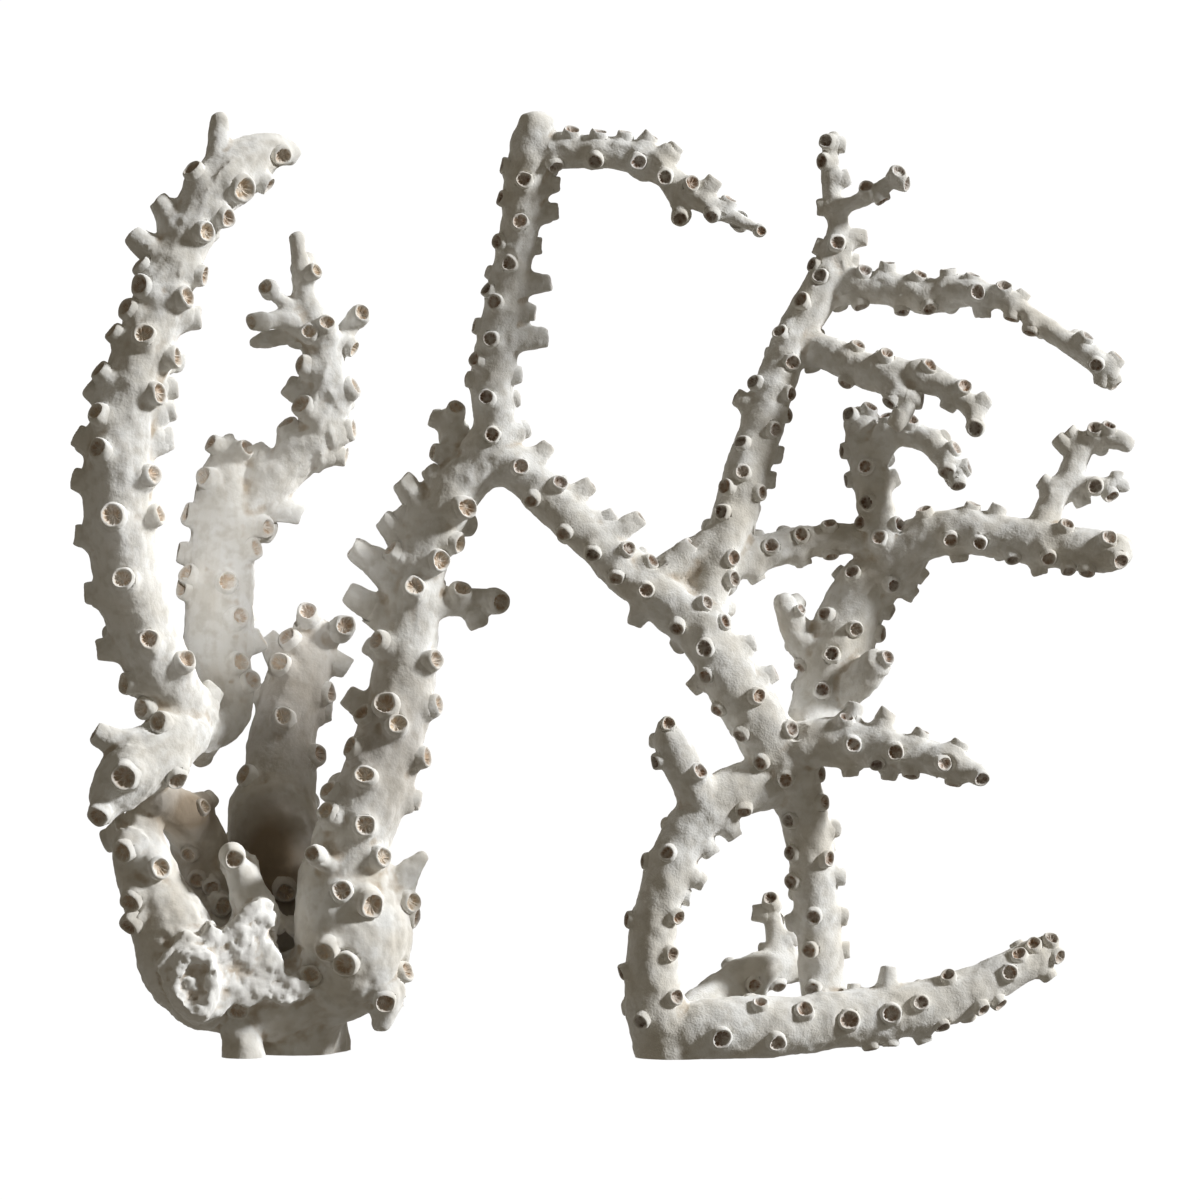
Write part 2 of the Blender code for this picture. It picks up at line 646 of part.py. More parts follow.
def apply_boolean(thing, other, operation):
    """Joins another object to this one, or cuts it away. The second solver is for what the first leaves open."""
    for solver in ("EXACT", "MANIFOLD"):
        modifier = thing.modifiers.new("boolean", "BOOLEAN")
        modifier.object = other
        modifier.operation = operation
        modifier.solver = solver
        modifier.use_self = solver == "EXACT"
        bpy.context.view_layer.update()
        graph = bpy.context.evaluated_depsgraph_get()
        shaped = bpy.data.meshes.new_from_object(thing.evaluated_get(graph))
        thing.modifiers.clear()
        if is_closed(shaped):
            break
    old = thing.data
    thing.data = shaped
    bpy.data.meshes.remove(old)


def remove(thing):
    """Removes an object and its mesh."""
    mesh = thing.data
    bpy.data.objects.remove(thing)
    bpy.data.meshes.remove(mesh)


def grown(name):
    """A limb's whole shape: its tubes joined in one solid, with lumps and cups."""
    limb = LIMBS[name]
    sides = 8 if limb.mouth == WIDE_MOUTH else 6
    tubes = [as_object(tube_mesh(line, sides), name) for line in LINES[name]]
    thing = tubes[0]
    for tube in tubes[1:]:
        apply_boolean(thing, tube, "UNION")
        remove(tube)
    if name == "base":
        builder = bmesh.new()
        for spike in BASE_SPIKES:
            add_spike(builder, *spike)
        spikes = as_object(builder, "spikes")
        apply_boolean(thing, spikes, "UNION")
        remove(spikes)
    cups = front_cups(name)
    if limb.back_cups:
        cups += back_cups(name, cups)
    builder = bmesh.new()
    builder.from_mesh(thing.data)
    extrude_cups(builder, cups)
    lumpy(builder)
    bmesh.ops.dissolve_limit(builder, angle_limit=FLAT_ANGLE, verts=builder.verts, edges=builder.edges)
    bmesh.ops.triangulate(builder, faces=builder.faces)
    builder.to_mesh(thing.data)
    builder.free()
    return thing


def swollen(thing, name):
    """A copy of an object, hidden, with its surface moved out by the gap at a joint."""
    builder = bmesh.new()
    builder.from_mesh(thing.data)
    builder.normal_update()
    moves = [v.normal * v.calc_shell_factor() * JOINT_GAP for v in builder.verts]
    for v, move in zip(builder.verts, moves):
        v.co += move
    copy = as_object(builder, name)
    copy.hide_render = True
    copy.display_type = "WIRE"
    return copy


def keep_largest(builder):
    """Deletes every loose scrap but the largest body."""
    unseen = set(builder.faces)
    bodies = []
    while unseen:
        body = [unseen.pop()]
        for face in body:
            for edge in face.edges:
                linked = [other for other in edge.link_faces if other in unseen and edge.is_manifold]
                unseen.difference_update(linked)
                body.extend(linked)
        bodies.append(body)
    bodies.sort(key=len)
    for body in bodies[:-1]:
        bmesh.ops.delete(builder, geom=body, context="FACES")
    bmesh.ops.delete(builder, geom=[v for v in builder.verts if not v.link_faces], context="VERTS")


def cut_flat(builder):
    """Cuts off what lies below the floor and closes the cut."""
    cut = bmesh.ops.bisect_plane(
        builder,
        geom=builder.verts[:] + builder.edges[:] + builder.faces[:],
        plane_co=(0, 0, 0),
        plane_no=(0, 0, -1),
        clear_outer=True,
    )
    rim = [edge for edge in cut["geom_cut"] if isinstance(edge, bmesh.types.BMEdge)]
    if rim:
        bmesh.ops.holes_fill(builder, edges=rim, sides=0)


def material(name, colour, roughness):
    made = bpy.data.materials.new(name)
    made.use_nodes = True
    shader = made.node_tree.nodes["Principled BSDF"]
    shader.inputs["Base Color"].default_value = colour
    shader.inputs["Roughness"].default_value = roughness
    shader.inputs["Metallic"].default_value = 0.0
    return made


def boxes_meet(first, second):
    """Whether two objects' boxes overlap."""
    corners = [[thing.matrix_world @ Vector(c) for c in thing.bound_box] for thing in (first, second)]
    return all(
        min(c[axis] for c in corners[0]) < max(c[axis] for c in corners[1])
        and min(c[axis] for c in corners[1]) < max(c[axis] for c in corners[0])
        for axis in range(3)
    )


def main():
    for thing in list(bpy.data.objects):
        bpy.data.objects.remove(thing)
    white = material(*WHITE_SKELETON)
    broken = material(*BROKEN_SKELETON)
    done = []
    for name in LIMBS:
        thing = grown(name)
        cutter = swollen(thing, name + "_cutter")
        for earlier_cutter, earlier in done:
            if boxes_meet(thing, earlier_cutter):
                apply_boolean(thing, earlier_cutter, "DIFFERENCE")
                apply_boolean(thing, earlier, "DIFFERENCE")
        done.append((cutter, thing))
        builder = bmesh.new()
        builder.from_mesh(thing.data)
        cut_flat(builder)
        bmesh.ops.dissolve_degenerate(builder, dist=WELD, edges=builder.edges[:])
        keep_largest(builder)
        bmesh.ops.dissolve_limit(builder, angle_limit=LEVEL_ANGLE, verts=builder.verts, edges=builder.edges)
        builder.to_mesh(thing.data)
        builder.free()
        thing.data.materials.clear()
        thing.data.materials.append(broken if name == "base" else white)
        thing.data.name = name
    for cutter, _ in done:
        remove(cutter)


main()
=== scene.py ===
"""Looks of a white tree-like stony coral: forking limbs with tubular cups, and a broken base that is cut off flat."""

import math

import bpy
import numpy as np
from mathutils import Matrix, Vector, noise


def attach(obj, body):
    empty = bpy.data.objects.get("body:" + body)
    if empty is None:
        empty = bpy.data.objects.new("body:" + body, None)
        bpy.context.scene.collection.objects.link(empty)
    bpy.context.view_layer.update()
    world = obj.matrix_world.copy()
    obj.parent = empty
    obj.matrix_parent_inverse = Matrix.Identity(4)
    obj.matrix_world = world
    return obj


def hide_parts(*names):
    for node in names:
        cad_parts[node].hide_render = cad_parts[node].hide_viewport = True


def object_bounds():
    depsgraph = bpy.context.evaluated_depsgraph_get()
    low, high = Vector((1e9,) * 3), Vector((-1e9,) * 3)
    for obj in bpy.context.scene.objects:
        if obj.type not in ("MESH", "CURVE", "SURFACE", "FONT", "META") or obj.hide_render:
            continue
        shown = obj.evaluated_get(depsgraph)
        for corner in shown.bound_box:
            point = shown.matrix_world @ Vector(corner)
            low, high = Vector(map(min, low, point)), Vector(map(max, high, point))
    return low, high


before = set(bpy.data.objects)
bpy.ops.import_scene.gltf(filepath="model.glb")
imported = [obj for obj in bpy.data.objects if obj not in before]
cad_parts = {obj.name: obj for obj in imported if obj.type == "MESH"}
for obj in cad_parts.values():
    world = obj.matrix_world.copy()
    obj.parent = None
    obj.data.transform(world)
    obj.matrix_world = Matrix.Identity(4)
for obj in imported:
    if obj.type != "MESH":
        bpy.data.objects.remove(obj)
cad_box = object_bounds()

MM = 0.001

# Scale and view: places are read off a grid of pixels laid over a picture taken from the front
PIXEL = 0.35 * MM
BASE_ACROSS = 295
FLOOR_DOWN = 1056
SIGHT_SLOPE = 0.05

# Cups: mouth width and least height over the limb
WIDE_MOUTH = 8.2 * MM
WIDE_HEIGHT = 3.6 * MM
NARROW_MOUTH = 6.2 * MM
NARROW_HEIGHT = 2.0 * MM

# Cups on the side that isn't seen: how far apart along a limb, then what share of a turn from one to the next, where
# on the back's half turn they may stand, their height and their width against those in front, and the least gap
WIDE_BACK_SPACING = 17 * MM
NARROW_BACK_SPACING = 13 * MM
FIRST_TURN = 0.3
GOLDEN_TURN = 0.618
BACK_FROM = 0.08
BACK_SPAN = 0.84
BACK_RISE = (1.0, 0.5)
BACK_WIDTH = (0.85, 0.2)
LEAST_CUP_GAP = 1.3

# Limbs: spacing along a smoothed line, and the share of its radius by which a limb draws a cup to it
FINE_SPACING = 3 * MM
CUP_DRAW = 0.5


class Limb:
    """A limb's routes and its cups' mouths, read off the picture.

    A route's points are (across, down, back in mm, width). A mouth is (across, down) and, where it isn't 1, its size.
    """

    def __init__(self, routes, mouths, wide=False, back_cups=True):
        self.routes = routes
        self.mouths = mouths
        self.mouth = WIDE_MOUTH if wide else NARROW_MOUTH
        self.height = WIDE_HEIGHT if wide else NARROW_HEIGHT
        self.back_spacing = WIDE_BACK_SPACING if wide else NARROW_BACK_SPACING
        self.back_cups = back_cups


# Base: a ridged lobe on the left, a valley, a ridge that ends in a cup, a lobe on the right that overhangs its foot,
# one lobe behind, and the broken ridge over the hollow between them
BASE = Limb(
    routes=[
        [(143, 824, -8, 42), (141, 852, -9, 57), (153, 890, -9, 68), (172, 930, -10, 84), (184, 962, -11, 92),
         (206, 996, -12, 76)],
        [(158, 799, -9, 42), (180, 815, 4, 50), (198, 845, 18, 60), (205, 895, 18, 68), (212, 945, 8, 80),
         (226, 990, 0, 80)],
        [(236, 862, -12, 24), (247, 886, -10, 38), (254, 914, -8, 46), (252, 942, -8, 50)],
        [(345, 880, -2, 100), (352, 926, -4, 122), (350, 960, -4, 112), (308, 1004, 6, 84), (288, 1075, 12, 88)],
        [(270, 812, 40, 90), (274, 850, 36, 98), (280, 930, 30, 104), (285, 1000, 26, 116), (290, 1075, 22, 124)],
        [(205, 985, -8, 84), (262, 1000, -2, 86), (322, 982, 0, 84)],
        [(232, 990, -12, 52), (240, 1030, -12, 38), (246, 1075, -10, 52)],
        [(205, 965, -20, 56), (240, 938, -22, 40), (266, 906, -20, 20)],
        [(385, 908, -2, 50), (400, 884, -4, 34), (412, 868, -6, 24), (422, 857, -6, 15)],
        [(345, 872, -12, 32), (326, 860, -17, 22), (315, 853, -19, 17)],
        [(382, 985, -8, 44), (385, 1006, -10, 34), (382, 1024, -10, 20)],
    ],
    mouths=[
        (123, 851), (163, 866), (235, 858), (196, 879, 0.8), (211, 887, 0.8), (285, 891), (312, 912),
        (374, 903, 1.2), (325, 948), (345, 961, 1.2), (311, 972), (239, 1007), (386, 1002), (205, 805, 0.8),
        (188, 854, 0.8), (313, 852, 0.8), (130, 901), (129, 925), (223, 905), (414, 901), (417, 918), (408, 970),
    ],
    wide=True,
)

# Left limb: the thickest, bowed out to the left
LEFT_LIMB = Limb(
    routes=[
        [(190, 726, 3, 50), (180, 706, -2, 60), (165, 680, -7, 66), (141, 620, -12, 70),
         (124, 540, -18, 72), (120, 470, -20, 72), (130, 400, -18, 64), (153, 330, -14, 58), (175, 270, -10, 50),
         (198, 215, -4, 52), (233, 172, 2, 58), (267, 150, 8, 40), (290, 154, 12, 24)],
        [(217, 190, -2, 30), (219, 150, 0, 24), (220, 122, 2, 22)],
    ],
    mouths=[
        (192, 167), (247, 189, 1.25), (209, 231), (141, 284), (146, 332), (163, 392), (98, 410), (100, 446),
        (115, 513, 1.2), (125, 576), (150, 637), (188, 657), (142, 707),
        (158, 200), (133, 235), (141, 263), (127, 306), (113, 330), (100, 369), (90, 386), (77, 435), (74, 478),
        (76, 534), (86, 594), (98, 650), (124, 683),
        (270, 185), (230, 217), (207, 275), (190, 296), (203, 318), (180, 357), (178, 388), (177, 410),
        (175, 438), (157, 473), (163, 513), (283, 155, 0.9),
    ],
    wide=True,
)

# Left stub: hangs in front of the base's left lobe
LEFT_STUB = Limb(
    routes=[[(186, 732, -4, 56), (160, 752, -14, 64), (132, 772, -21, 64), (112, 797, -25, 46), (104, 812, -26, 28)]],
    mouths=[(159, 719), (126, 774, 1.25), (179, 779), (100, 815), (96, 731)],
    wide=True,
    back_cups=False,
)

# Middle limb: behind the left one, with a peaked top
MIDDLE_LIMB = Limb(
    routes=[[(196, 727, 7, 40), (212, 727, 16, 44), (224, 714, 22, 52), (220, 680, 25, 62), (216, 640, 27, 70),
             (220, 560, 33, 68), (226, 490, 36, 64),
             (227, 452, 36, 36), (226, 438, 36, 16)]],
    mouths=[
        (208, 441, 0.8), (246, 445, 0.8), (201, 473), (183, 511), (176, 551), (184, 571), (179, 586), (227, 579),
        (256, 546), (240, 614), (240, 660), (252, 678), (261, 638),
    ],
    wide=True,
)

# Middle fork: leaves the middle limb and ends in a finger and small twigs
MIDDLE_FORK = Limb(
    routes=[
        [(232, 530, 34, 44), (262, 492, 34, 46), (292, 458, 34, 46), (318, 430, 34, 46), (325, 380, 33, 42),
         (318, 335, 32, 38), (304, 300, 31, 26), (299, 262, 30, 19), (295, 236, 30, 18)],
        [(315, 340, 32, 28), (290, 320, 28, 22), (262, 321, 24, 17)],
        [(308, 308, 31, 18), (284, 302, 28, 15), (266, 286, 26, 13)],
        [(290, 332, 32, 20), (262, 338, 36, 17), (252, 341, 38, 13)],
        [(322, 350, 33, 28), (342, 334, 36, 22), (358, 313, 38, 17)],
    ],
    mouths=[
        (316, 268, 0.7), (265, 285, 0.75), (250, 320, 0.75), (308, 329, 0.8), (326, 320, 0.8), (361, 310, 0.8),
        (353, 347, 0.8), (298, 362), (284, 383), (355, 384), (299, 402), (353, 427), (284, 421), (251, 444),
        (345, 455), (300, 515), (267, 526),
    ],
    wide=True,
)

# Back limb: short, behind the others
BACK_LIMB = Limb(
    routes=[
        [(284, 960, 28, 96), (280, 900, 34, 94), (275, 830, 40, 82), (278, 760, 45, 72), (288, 700, 48, 64),
         (305, 655, 50, 56), (314, 634, 50, 40)],
        [(312, 645, 50, 26), (306, 614, 48, 18)],
        [(318, 650, 50, 26), (341, 627, 48, 18)],
    ],
    mouths=[
        (306, 610), (344, 624), (284, 635), (262, 638), (276, 661), (346, 670), (330, 693), (330, 712),
        (281, 714), (319, 754), (240, 774), (267, 809),
    ],
    wide=True,
)

# Right limb: rises from the base into the arch
RIGHT_LIMB = Limb(
    routes=[
        [(347, 905, -4, 92), (354, 840, -5, 80), (380, 770, -3, 72), (400, 700, 0, 68), (407, 640, 2, 62),
         (416, 580, 2, 56), (432, 530, 1, 52), (457, 490, 0, 52), (488, 458, 0, 46)],
        [(427, 606, 2, 34), (462, 602, 6, 27), (497, 601, 8, 24)],
        [(464, 480, 2, 30), (457, 450, 8, 34), (452, 415, 12, 25)],
    ],
    mouths=[
        (376, 639), (385, 701, 1.2), (398, 721), (365, 772), (366, 822), (342, 887), (415, 584), (468, 506),
        (401, 479), (401, 506), (382, 518), (352, 547), (390, 548), (347, 592), (371, 609), (346, 695),
        (362, 710), (350, 744), (328, 788), (326, 808), (461, 543), (442, 559), (437, 658), (440, 704),
        (428, 756), (421, 801), (385, 854), (463, 587), (479, 627), (430, 416, 0.8), (456, 405, 0.8),
        (432, 451, 0.8), (427, 468, 0.8), (502, 600),
    ],
    wide=True,
)

# Arch limb: from the right limb's top to the crown of the arch
ARCH_LIMB = Limb(
    routes=[[(499, 470, 0, 44), (495, 430, 0, 43), (492, 380, -3, 42), (501, 320, -6, 40), (514, 260, -8, 38),
             (524, 200, -10, 42), (533, 150, -10, 48), (537, 128, -10, 40)]],
    mouths=[
        (524, 179), (520, 221), (509, 263), (494, 301), (490, 338), (486, 396), (474, 358), (492, 434),
        (502, 165), (500, 198), (497, 242), (486, 288), (474, 325), (466, 378), (560, 185), (558, 212),
        (542, 246), (551, 283), (548, 338, 1.1), (536, 313), (522, 374), (520, 398), (530, 428),
    ],
)

# Top spray: thin and drooping, cut at the top by the picture's edge
TOP_SPRAY = Limb(
    routes=[
        [(530, 150, -10, 38), (582, 152, -14, 34), (632, 158, -18, 31), (667, 178, -22, 26), (702, 203, -25, 22),
         (732, 218, -27, 18), (760, 233, -29, 12)],
        [(670, 190, -22, 18), (682, 218, -24, 15)],
    ],
    mouths=[
        (595, 162), (638, 163), (664, 178), (677, 147), (679, 220), (692, 184), (716, 181), (710, 218),
        (730, 200), (760, 232, 0.7), (600, 132), (626, 133), (652, 136), (572, 130), (556, 168),
    ],
)

# Long limb: falls to the right from the right limb's top
LONG_LIMB = Limb(
    routes=[[(480, 446, 0, 44), (500, 460, 0, 46), (527, 476, -1, 46), (577, 523, -3, 46), (622, 568, -5, 46),
             (662, 598, -6, 52), (707, 630, -8, 56)]],
    mouths=[
        (521, 465), (531, 500), (561, 481), (563, 533), (592, 554), (629, 547), (616, 578), (646, 589),
        (653, 559), (676, 628), (549, 445), (592, 483), (615, 514), (642, 517), (692, 543), (634, 626),
    ],
)

# Long limb's lower stretch, to the fork in the middle of the right half
LONG_LIMB_LOWER = Limb(
    routes=[[(691, 617, -7, 52), (717, 654, -9, 56), (741, 694, -10, 60), (766, 734, -10, 62), (789, 774, -8, 62)]],
    mouths=[
        (707, 601), (703, 647, 1.15), (704, 676), (716, 710), (759, 694), (739, 735), (759, 762), (785, 778),
        (792, 727, 1.15), (726, 620), (755, 642), (776, 672), (822, 773), (680, 571), (829, 755), (690, 690),
    ],
)

# Pillar: below that fork, down to the floor limb
PILLAR = Limb(
    routes=[[(791, 775, -8, 54), (805, 820, -4, 48), (813, 880, 1, 46), (820, 940, 5, 46), (825, 1005, 6, 46)]],
    mouths=[
        (788, 820), (789, 852), (830, 858), (790, 882), (813, 916), (809, 950), (812, 989), (825, 801),
        (840, 828), (846, 878), (848, 917), (850, 951), (786, 925),
    ],
)

# Tall limb: rises from the long limb
TALL_LIMB = Limb(
    routes=[
        [(702, 610, -5, 46), (718, 560, 0, 46), (737, 505, 6, 44), (757, 440, 13, 44), (777, 380, 19, 42),
         (798, 330, 24, 40), (828, 280, 28, 42)],
        [(730, 530, 3, 38), (702, 552, 0, 38), (674, 572, -3, 36)],
    ],
    mouths=[
        (721, 510), (734, 557), (735, 578), (763, 492), (776, 428), (753, 380), (793, 361), (779, 329),
        (817, 334), (801, 297), (792, 392), (736, 395), (740, 440), (790, 414), (783, 455), (776, 480),
        (742, 470), (724, 485),
    ],
)

# Tall limb's tip: thin, with a twig
TALL_LIMB_TIP = Limb(
    routes=[
        [(822, 292, 28, 38), (834, 258, 30, 32), (839, 222, 31, 22), (832, 185, 33, 20), (832, 150, 34, 16),
         (835, 132, 35, 14)],
        [(838, 208, 31, 18), (866, 196, 27, 16), (898, 176, 24, 15)],
    ],
    mouths=[
        (820, 273), (849, 292), (815, 243), (860, 260), (838, 240), (818, 205), (868, 236), (850, 174),
        (822, 159), (846, 143), (826, 138), (900, 169), (908, 182), (812, 262), (866, 184), (884, 200),
    ],
)

# Upper right branch: long and drooping
UPPER_RIGHT_BRANCH = Limb(
    routes=[[(826, 284, 28, 34), (880, 287, 24, 33), (930, 294, 19, 34), (970, 292, 14, 28), (1010, 301, 9, 22),
             (1050, 330, 5, 22), (1090, 356, 1, 24), (1108, 370, 0, 20)]],
    mouths=[
        (889, 261), (921, 272), (949, 268), (974, 273), (977, 291), (1004, 284), (903, 312), (930, 308),
        (983, 317), (1011, 319), (1029, 333), (1088, 335), (1095, 365), (1119, 356), (1116, 386), (1100, 386),
        (866, 268), (862, 306),
    ],
)

# Hanging branch: below the upper right one, forked at its end
HANGING_BRANCH = Limb(
    routes=[
        [(807, 342, 24, 34), (837, 356, 15, 34), (865, 370, 8, 36), (891, 378, 0, 34), (904, 400, -6, 22),
         (906, 412, -8, 16)],
        [(883, 370, 2, 32), (921, 378, -3, 30), (951, 390, -7, 25), (973, 412, -11, 22), (975, 428, -13, 18)],
    ],
    mouths=[
        (860, 343), (887, 352), (930, 364), (964, 385), (988, 398), (922, 401, 1.1), (974, 428), (888, 404),
        (892, 428), (945, 410), (845, 384),
    ],
)

# Upright branch: short, with a side twig
UPRIGHT_BRANCH = Limb(
    routes=[
        [(885, 545, 10, 38), (875, 500, 13, 36), (866, 455, 17, 38), (862, 420, 20, 32)],
        [(867, 462, 16, 32), (896, 436, 11, 27), (926, 440, 5, 27), (945, 458, 0, 24), (956, 474, -3, 20)],
    ],
    mouths=[
        (865, 465), (866, 501), (899, 476), (860, 521), (878, 536), (900, 523), (957, 447), (946, 472),
        (969, 466), (958, 486), (848, 412), (872, 405), (842, 450), (846, 480), (912, 418), (886, 415),
    ],
)

# Link branch: thin, between the tall limb's foot and the high right limb
LINK_BRANCH = Limb(
    routes=[[(712, 572, 0, 40), (745, 558, 5, 38), (790, 546, 10, 31), (840, 538, 12, 29), (885, 545, 12, 34)]],
    mouths=[(771, 544), (801, 533), (832, 557), (758, 582), (805, 566), (830, 522), (691, 545), (756, 530)],
)

# High right limb: rises to the right from the fork
HIGH_RIGHT_LIMB = Limb(
    routes=[
        [(790, 770, -4, 44), (806, 730, 2, 46), (826, 690, 8, 62), (842, 640, 12, 68), (864, 592, 15, 62),
         (905, 552, 12, 54)],
        [(812, 650, 10, 38), (794, 626, 8, 32), (783, 602, 7, 22)],
        [(846, 690, 4, 40), (866, 674, -2, 36), (874, 664, -4, 30)],
    ],
    mouths=[
        (894, 584), (856, 628), (831, 652), (822, 688), (926, 579), (916, 597), (893, 613), (802, 608, 0.7),
        (888, 656), (852, 570), (824, 612), (884, 634), (800, 668),
    ],
)

# High right arm: the level outer stretch of that limb
HIGH_RIGHT_ARM = Limb(
    routes=[[(888, 562, 13, 50), (925, 538, 9, 48), (960, 531, 5, 46), (1000, 536, 1, 44), (1050, 546, -4, 46),
             (1095, 551, -8, 44), (1116, 551, -10, 38)]],
    mouths=[
        (950, 539), (979, 542), (1048, 558), (924, 508), (974, 503), (1012, 560), (1040, 575), (1086, 573),
        (1068, 571), (1119, 560), (1067, 523), (1108, 536), (1000, 506), (960, 562),
    ],
)

# Edge twig: rises from the arm and is cut by the picture's edge
EDGE_TWIG = Limb(
    routes=[
        [(1040, 540, -2, 34), (1052, 505, 2, 28), (1068, 478, 5, 26), (1084, 444, 8, 23), (1108, 438, 7, 21),
         (1127, 444, 5, 19)],
        [(1066, 486, 5, 22), (1098, 486, 3, 17), (1125, 485, 2, 15)],
    ],
    mouths=[(1041, 479), (1057, 436), (1095, 427), (1110, 424), (1094, 486), (1084, 506), (1112, 496), (1068, 430)],
)

# Low right branch: droops to the right
LOW_RIGHT_BRANCH = Limb(
    routes=[[(782, 748, -10, 50), (830, 742, -14, 50), (870, 745, -19, 44), (905, 752, -24, 38), (940, 761, -28, 31),
             (975, 773, -32, 22)]],
    mouths=[
        (856, 703), (852, 743), (894, 750), (876, 764), (943, 762), (888, 710), (887, 780), (909, 776),
        (922, 730), (960, 741), (980, 778), (951, 785), (850, 776), (846, 716),
    ],
)

# Loop limb: curves down to the second foot
LOOP_LIMB = Limb(
    routes=[[(794, 777, -8, 46), (756, 785, -11, 54), (722, 798, -14, 52), (690, 827, -17, 48), (666, 877, -18, 47),
             (652, 936, -17, 50), (654, 996, -14, 60), (668, 1041, -11, 72), (676, 1079, -10, 78)]],
    mouths=[
        (743, 811), (666, 851), (713, 855), (679, 916), (673, 952), (677, 995), (735, 838), (704, 884),
        (690, 898), (626, 918), (620, 972), (642, 860), (640, 1020),
    ],
)

# Loop stub: blunt, on top of the loop
LOOP_STUB = Limb(
    routes=[[(704, 812, -16, 46), (690, 780, -20, 42), (676, 752, -24, 40), (668, 732, -26, 30),
             (666, 724, -26, 18)]],
    mouths=[(654, 761), (700, 769), (668, 722, 0.9)],
)

# Floor limb: long, just over the floor
FLOOR_LIMB = Limb(
    routes=[[(665, 1040, -12, 60), (720, 1030, -13, 66), (790, 1026, -10, 60), (860, 1018, -4, 57),
             (920, 1008, 0, 53), (980, 988, 4, 46), (1030, 962, 8, 36), (1050, 950, 10, 26)]],
    mouths=[
        (721, 1036, 1.3), (777, 1041, 1.2), (804, 1007, 1.2), (849, 1018, 1.3), (891, 1013, 1.3), (921, 1001),
        (943, 1028), (889, 968), (948, 974), (872, 1050), (891, 1047), (925, 1044), (984, 1010), (1010, 972),
        (1019, 953), (1034, 943), (1053, 938), (1061, 957), (1052, 980), (1002, 1005), (760, 1000),
    ],
)

# Rear arm: behind the floor limb, with a thin twig
REAR_ARM = Limb(
    routes=[
        [(690, 1020, -2, 44), (722, 994, 12, 42), (756, 976, 22, 42), (790, 968, 30, 38), (812, 974, 34, 24)],
        [(778, 968, 26, 26), (776, 930, 28, 20), (773, 906, 29, 16)],
    ],
    mouths=[(755, 986), (780, 989), (763, 1007), (753, 915), (771, 899), (798, 940, 0.9)],
)

# In order from the base: each limb is cut where it meets those before it
LIMBS = {
    "base": BASE,
    "left_limb": LEFT_LIMB,
    "left_stub": LEFT_STUB,
    "middle_limb": MIDDLE_LIMB,
    "middle_fork": MIDDLE_FORK,
    "back_limb": BACK_LIMB,
    "right_limb": RIGHT_LIMB,
    "long_limb": LONG_LIMB,
    "arch_limb": ARCH_LIMB,
    "top_spray": TOP_SPRAY,
    "long_limb_lower": LONG_LIMB_LOWER,
    "tall_limb": TALL_LIMB,
    "tall_limb_tip": TALL_LIMB_TIP,
    "upper_right_branch": UPPER_RIGHT_BRANCH,
    "hanging_branch": HANGING_BRANCH,
    "pillar": PILLAR,
    "high_right_limb": HIGH_RIGHT_LIMB,
    "high_right_arm": HIGH_RIGHT_ARM,
    "link_branch": LINK_BRANCH,
    "upright_branch": UPRIGHT_BRANCH,
    "edge_twig": EDGE_TWIG,
    "low_right_branch": LOW_RIGHT_BRANCH,
    "loop_limb": LOOP_LIMB,
    "loop_stub": LOOP_STUB,
    "floor_limb": FLOOR_LIMB,
    "rear_arm": REAR_ARM,
}


def place(across, down, back_mm):
    """A point of the coral from its place in the picture and its depth behind the picture's plane."""
    back = back_mm * MM
    return Vector(((across - BASE_ACROSS) * PIXEL, back, (FLOOR_DOWN - down) * PIXEL - back * SIGHT_SLOPE))


def between(a, b, c, d, share):
    """A Catmull-Rom curve's value between b and c."""
    return 0.5 * (
        2 * b
        + (c - a) * share
        + (2 * a - 5 * b + 4 * c - d) * share**2
        + (3 * b - a - 3 * c + d) * share**3
    )


def smooth_route(route, spacing):
    """Places and radii along a smooth curve through a route's points, about one spacing apart."""
    spots = [(place(across, down, back), width * PIXEL / 2) for across, down, back, width in route]
    padded = [spots[0]] + spots + [spots[-1]]
    line = []
    for a, b, c, d in zip(padded, padded[1:], padded[2:], padded[3:]):
        count = max(1, round((c[0] - b[0]).length / spacing))
        for i in range(count):
            share = i / count
            line.append((between(a[0], b[0], c[0], d[0], share), between(a[1], b[1], c[1], d[1], share)))
    return line + [spots[-1]]


# Each limb's smoothed lines
LINES = {name: [smooth_route(route, FINE_SPACING) for route in limb.routes] for name, limb in LIMBS.items()}


def nearest(lines, mouth_across, mouth_down):
    """Where a mouth seen at this pixel lies at the limb's depth, and the limb's place and radius there."""
    best = None
    for line in lines:
        for spot, radius in line:
            seen = place(mouth_across, mouth_down, spot.y / MM)
            distance = (seen - spot).length - CUP_DRAW * radius
            if best is None or distance < best[0]:
                best = (distance, seen, spot, radius)
    return best[1:]


def buried(point, owner):
    """Whether a point lies inside a limb other than its owner."""
    return any(
        (point - spot).length < radius
        for name, lines in LINES.items()
        if name != owner
        for line in lines
        for spot, radius in line
    )


def front_cups(name):
    """The cups that the picture shows: where each starts, where its mouth is, and its mouth's width."""
    limb = LIMBS[name]
    cups = []
    for across, down, *size in limb.mouths:
        seen, spot, radius = nearest(LINES[name], across, down)
        aside = seen - spot
        aside.y = 0
        reach = max(radius + limb.height, aside.length)
        mouth = spot + aside + Vector((0, -math.sqrt(reach**2 - aside.length**2), 0))
        if not buried(mouth, name):
            cups.append((spot, mouth, limb.mouth * (size[0] if size else 1), radius))
    return cups


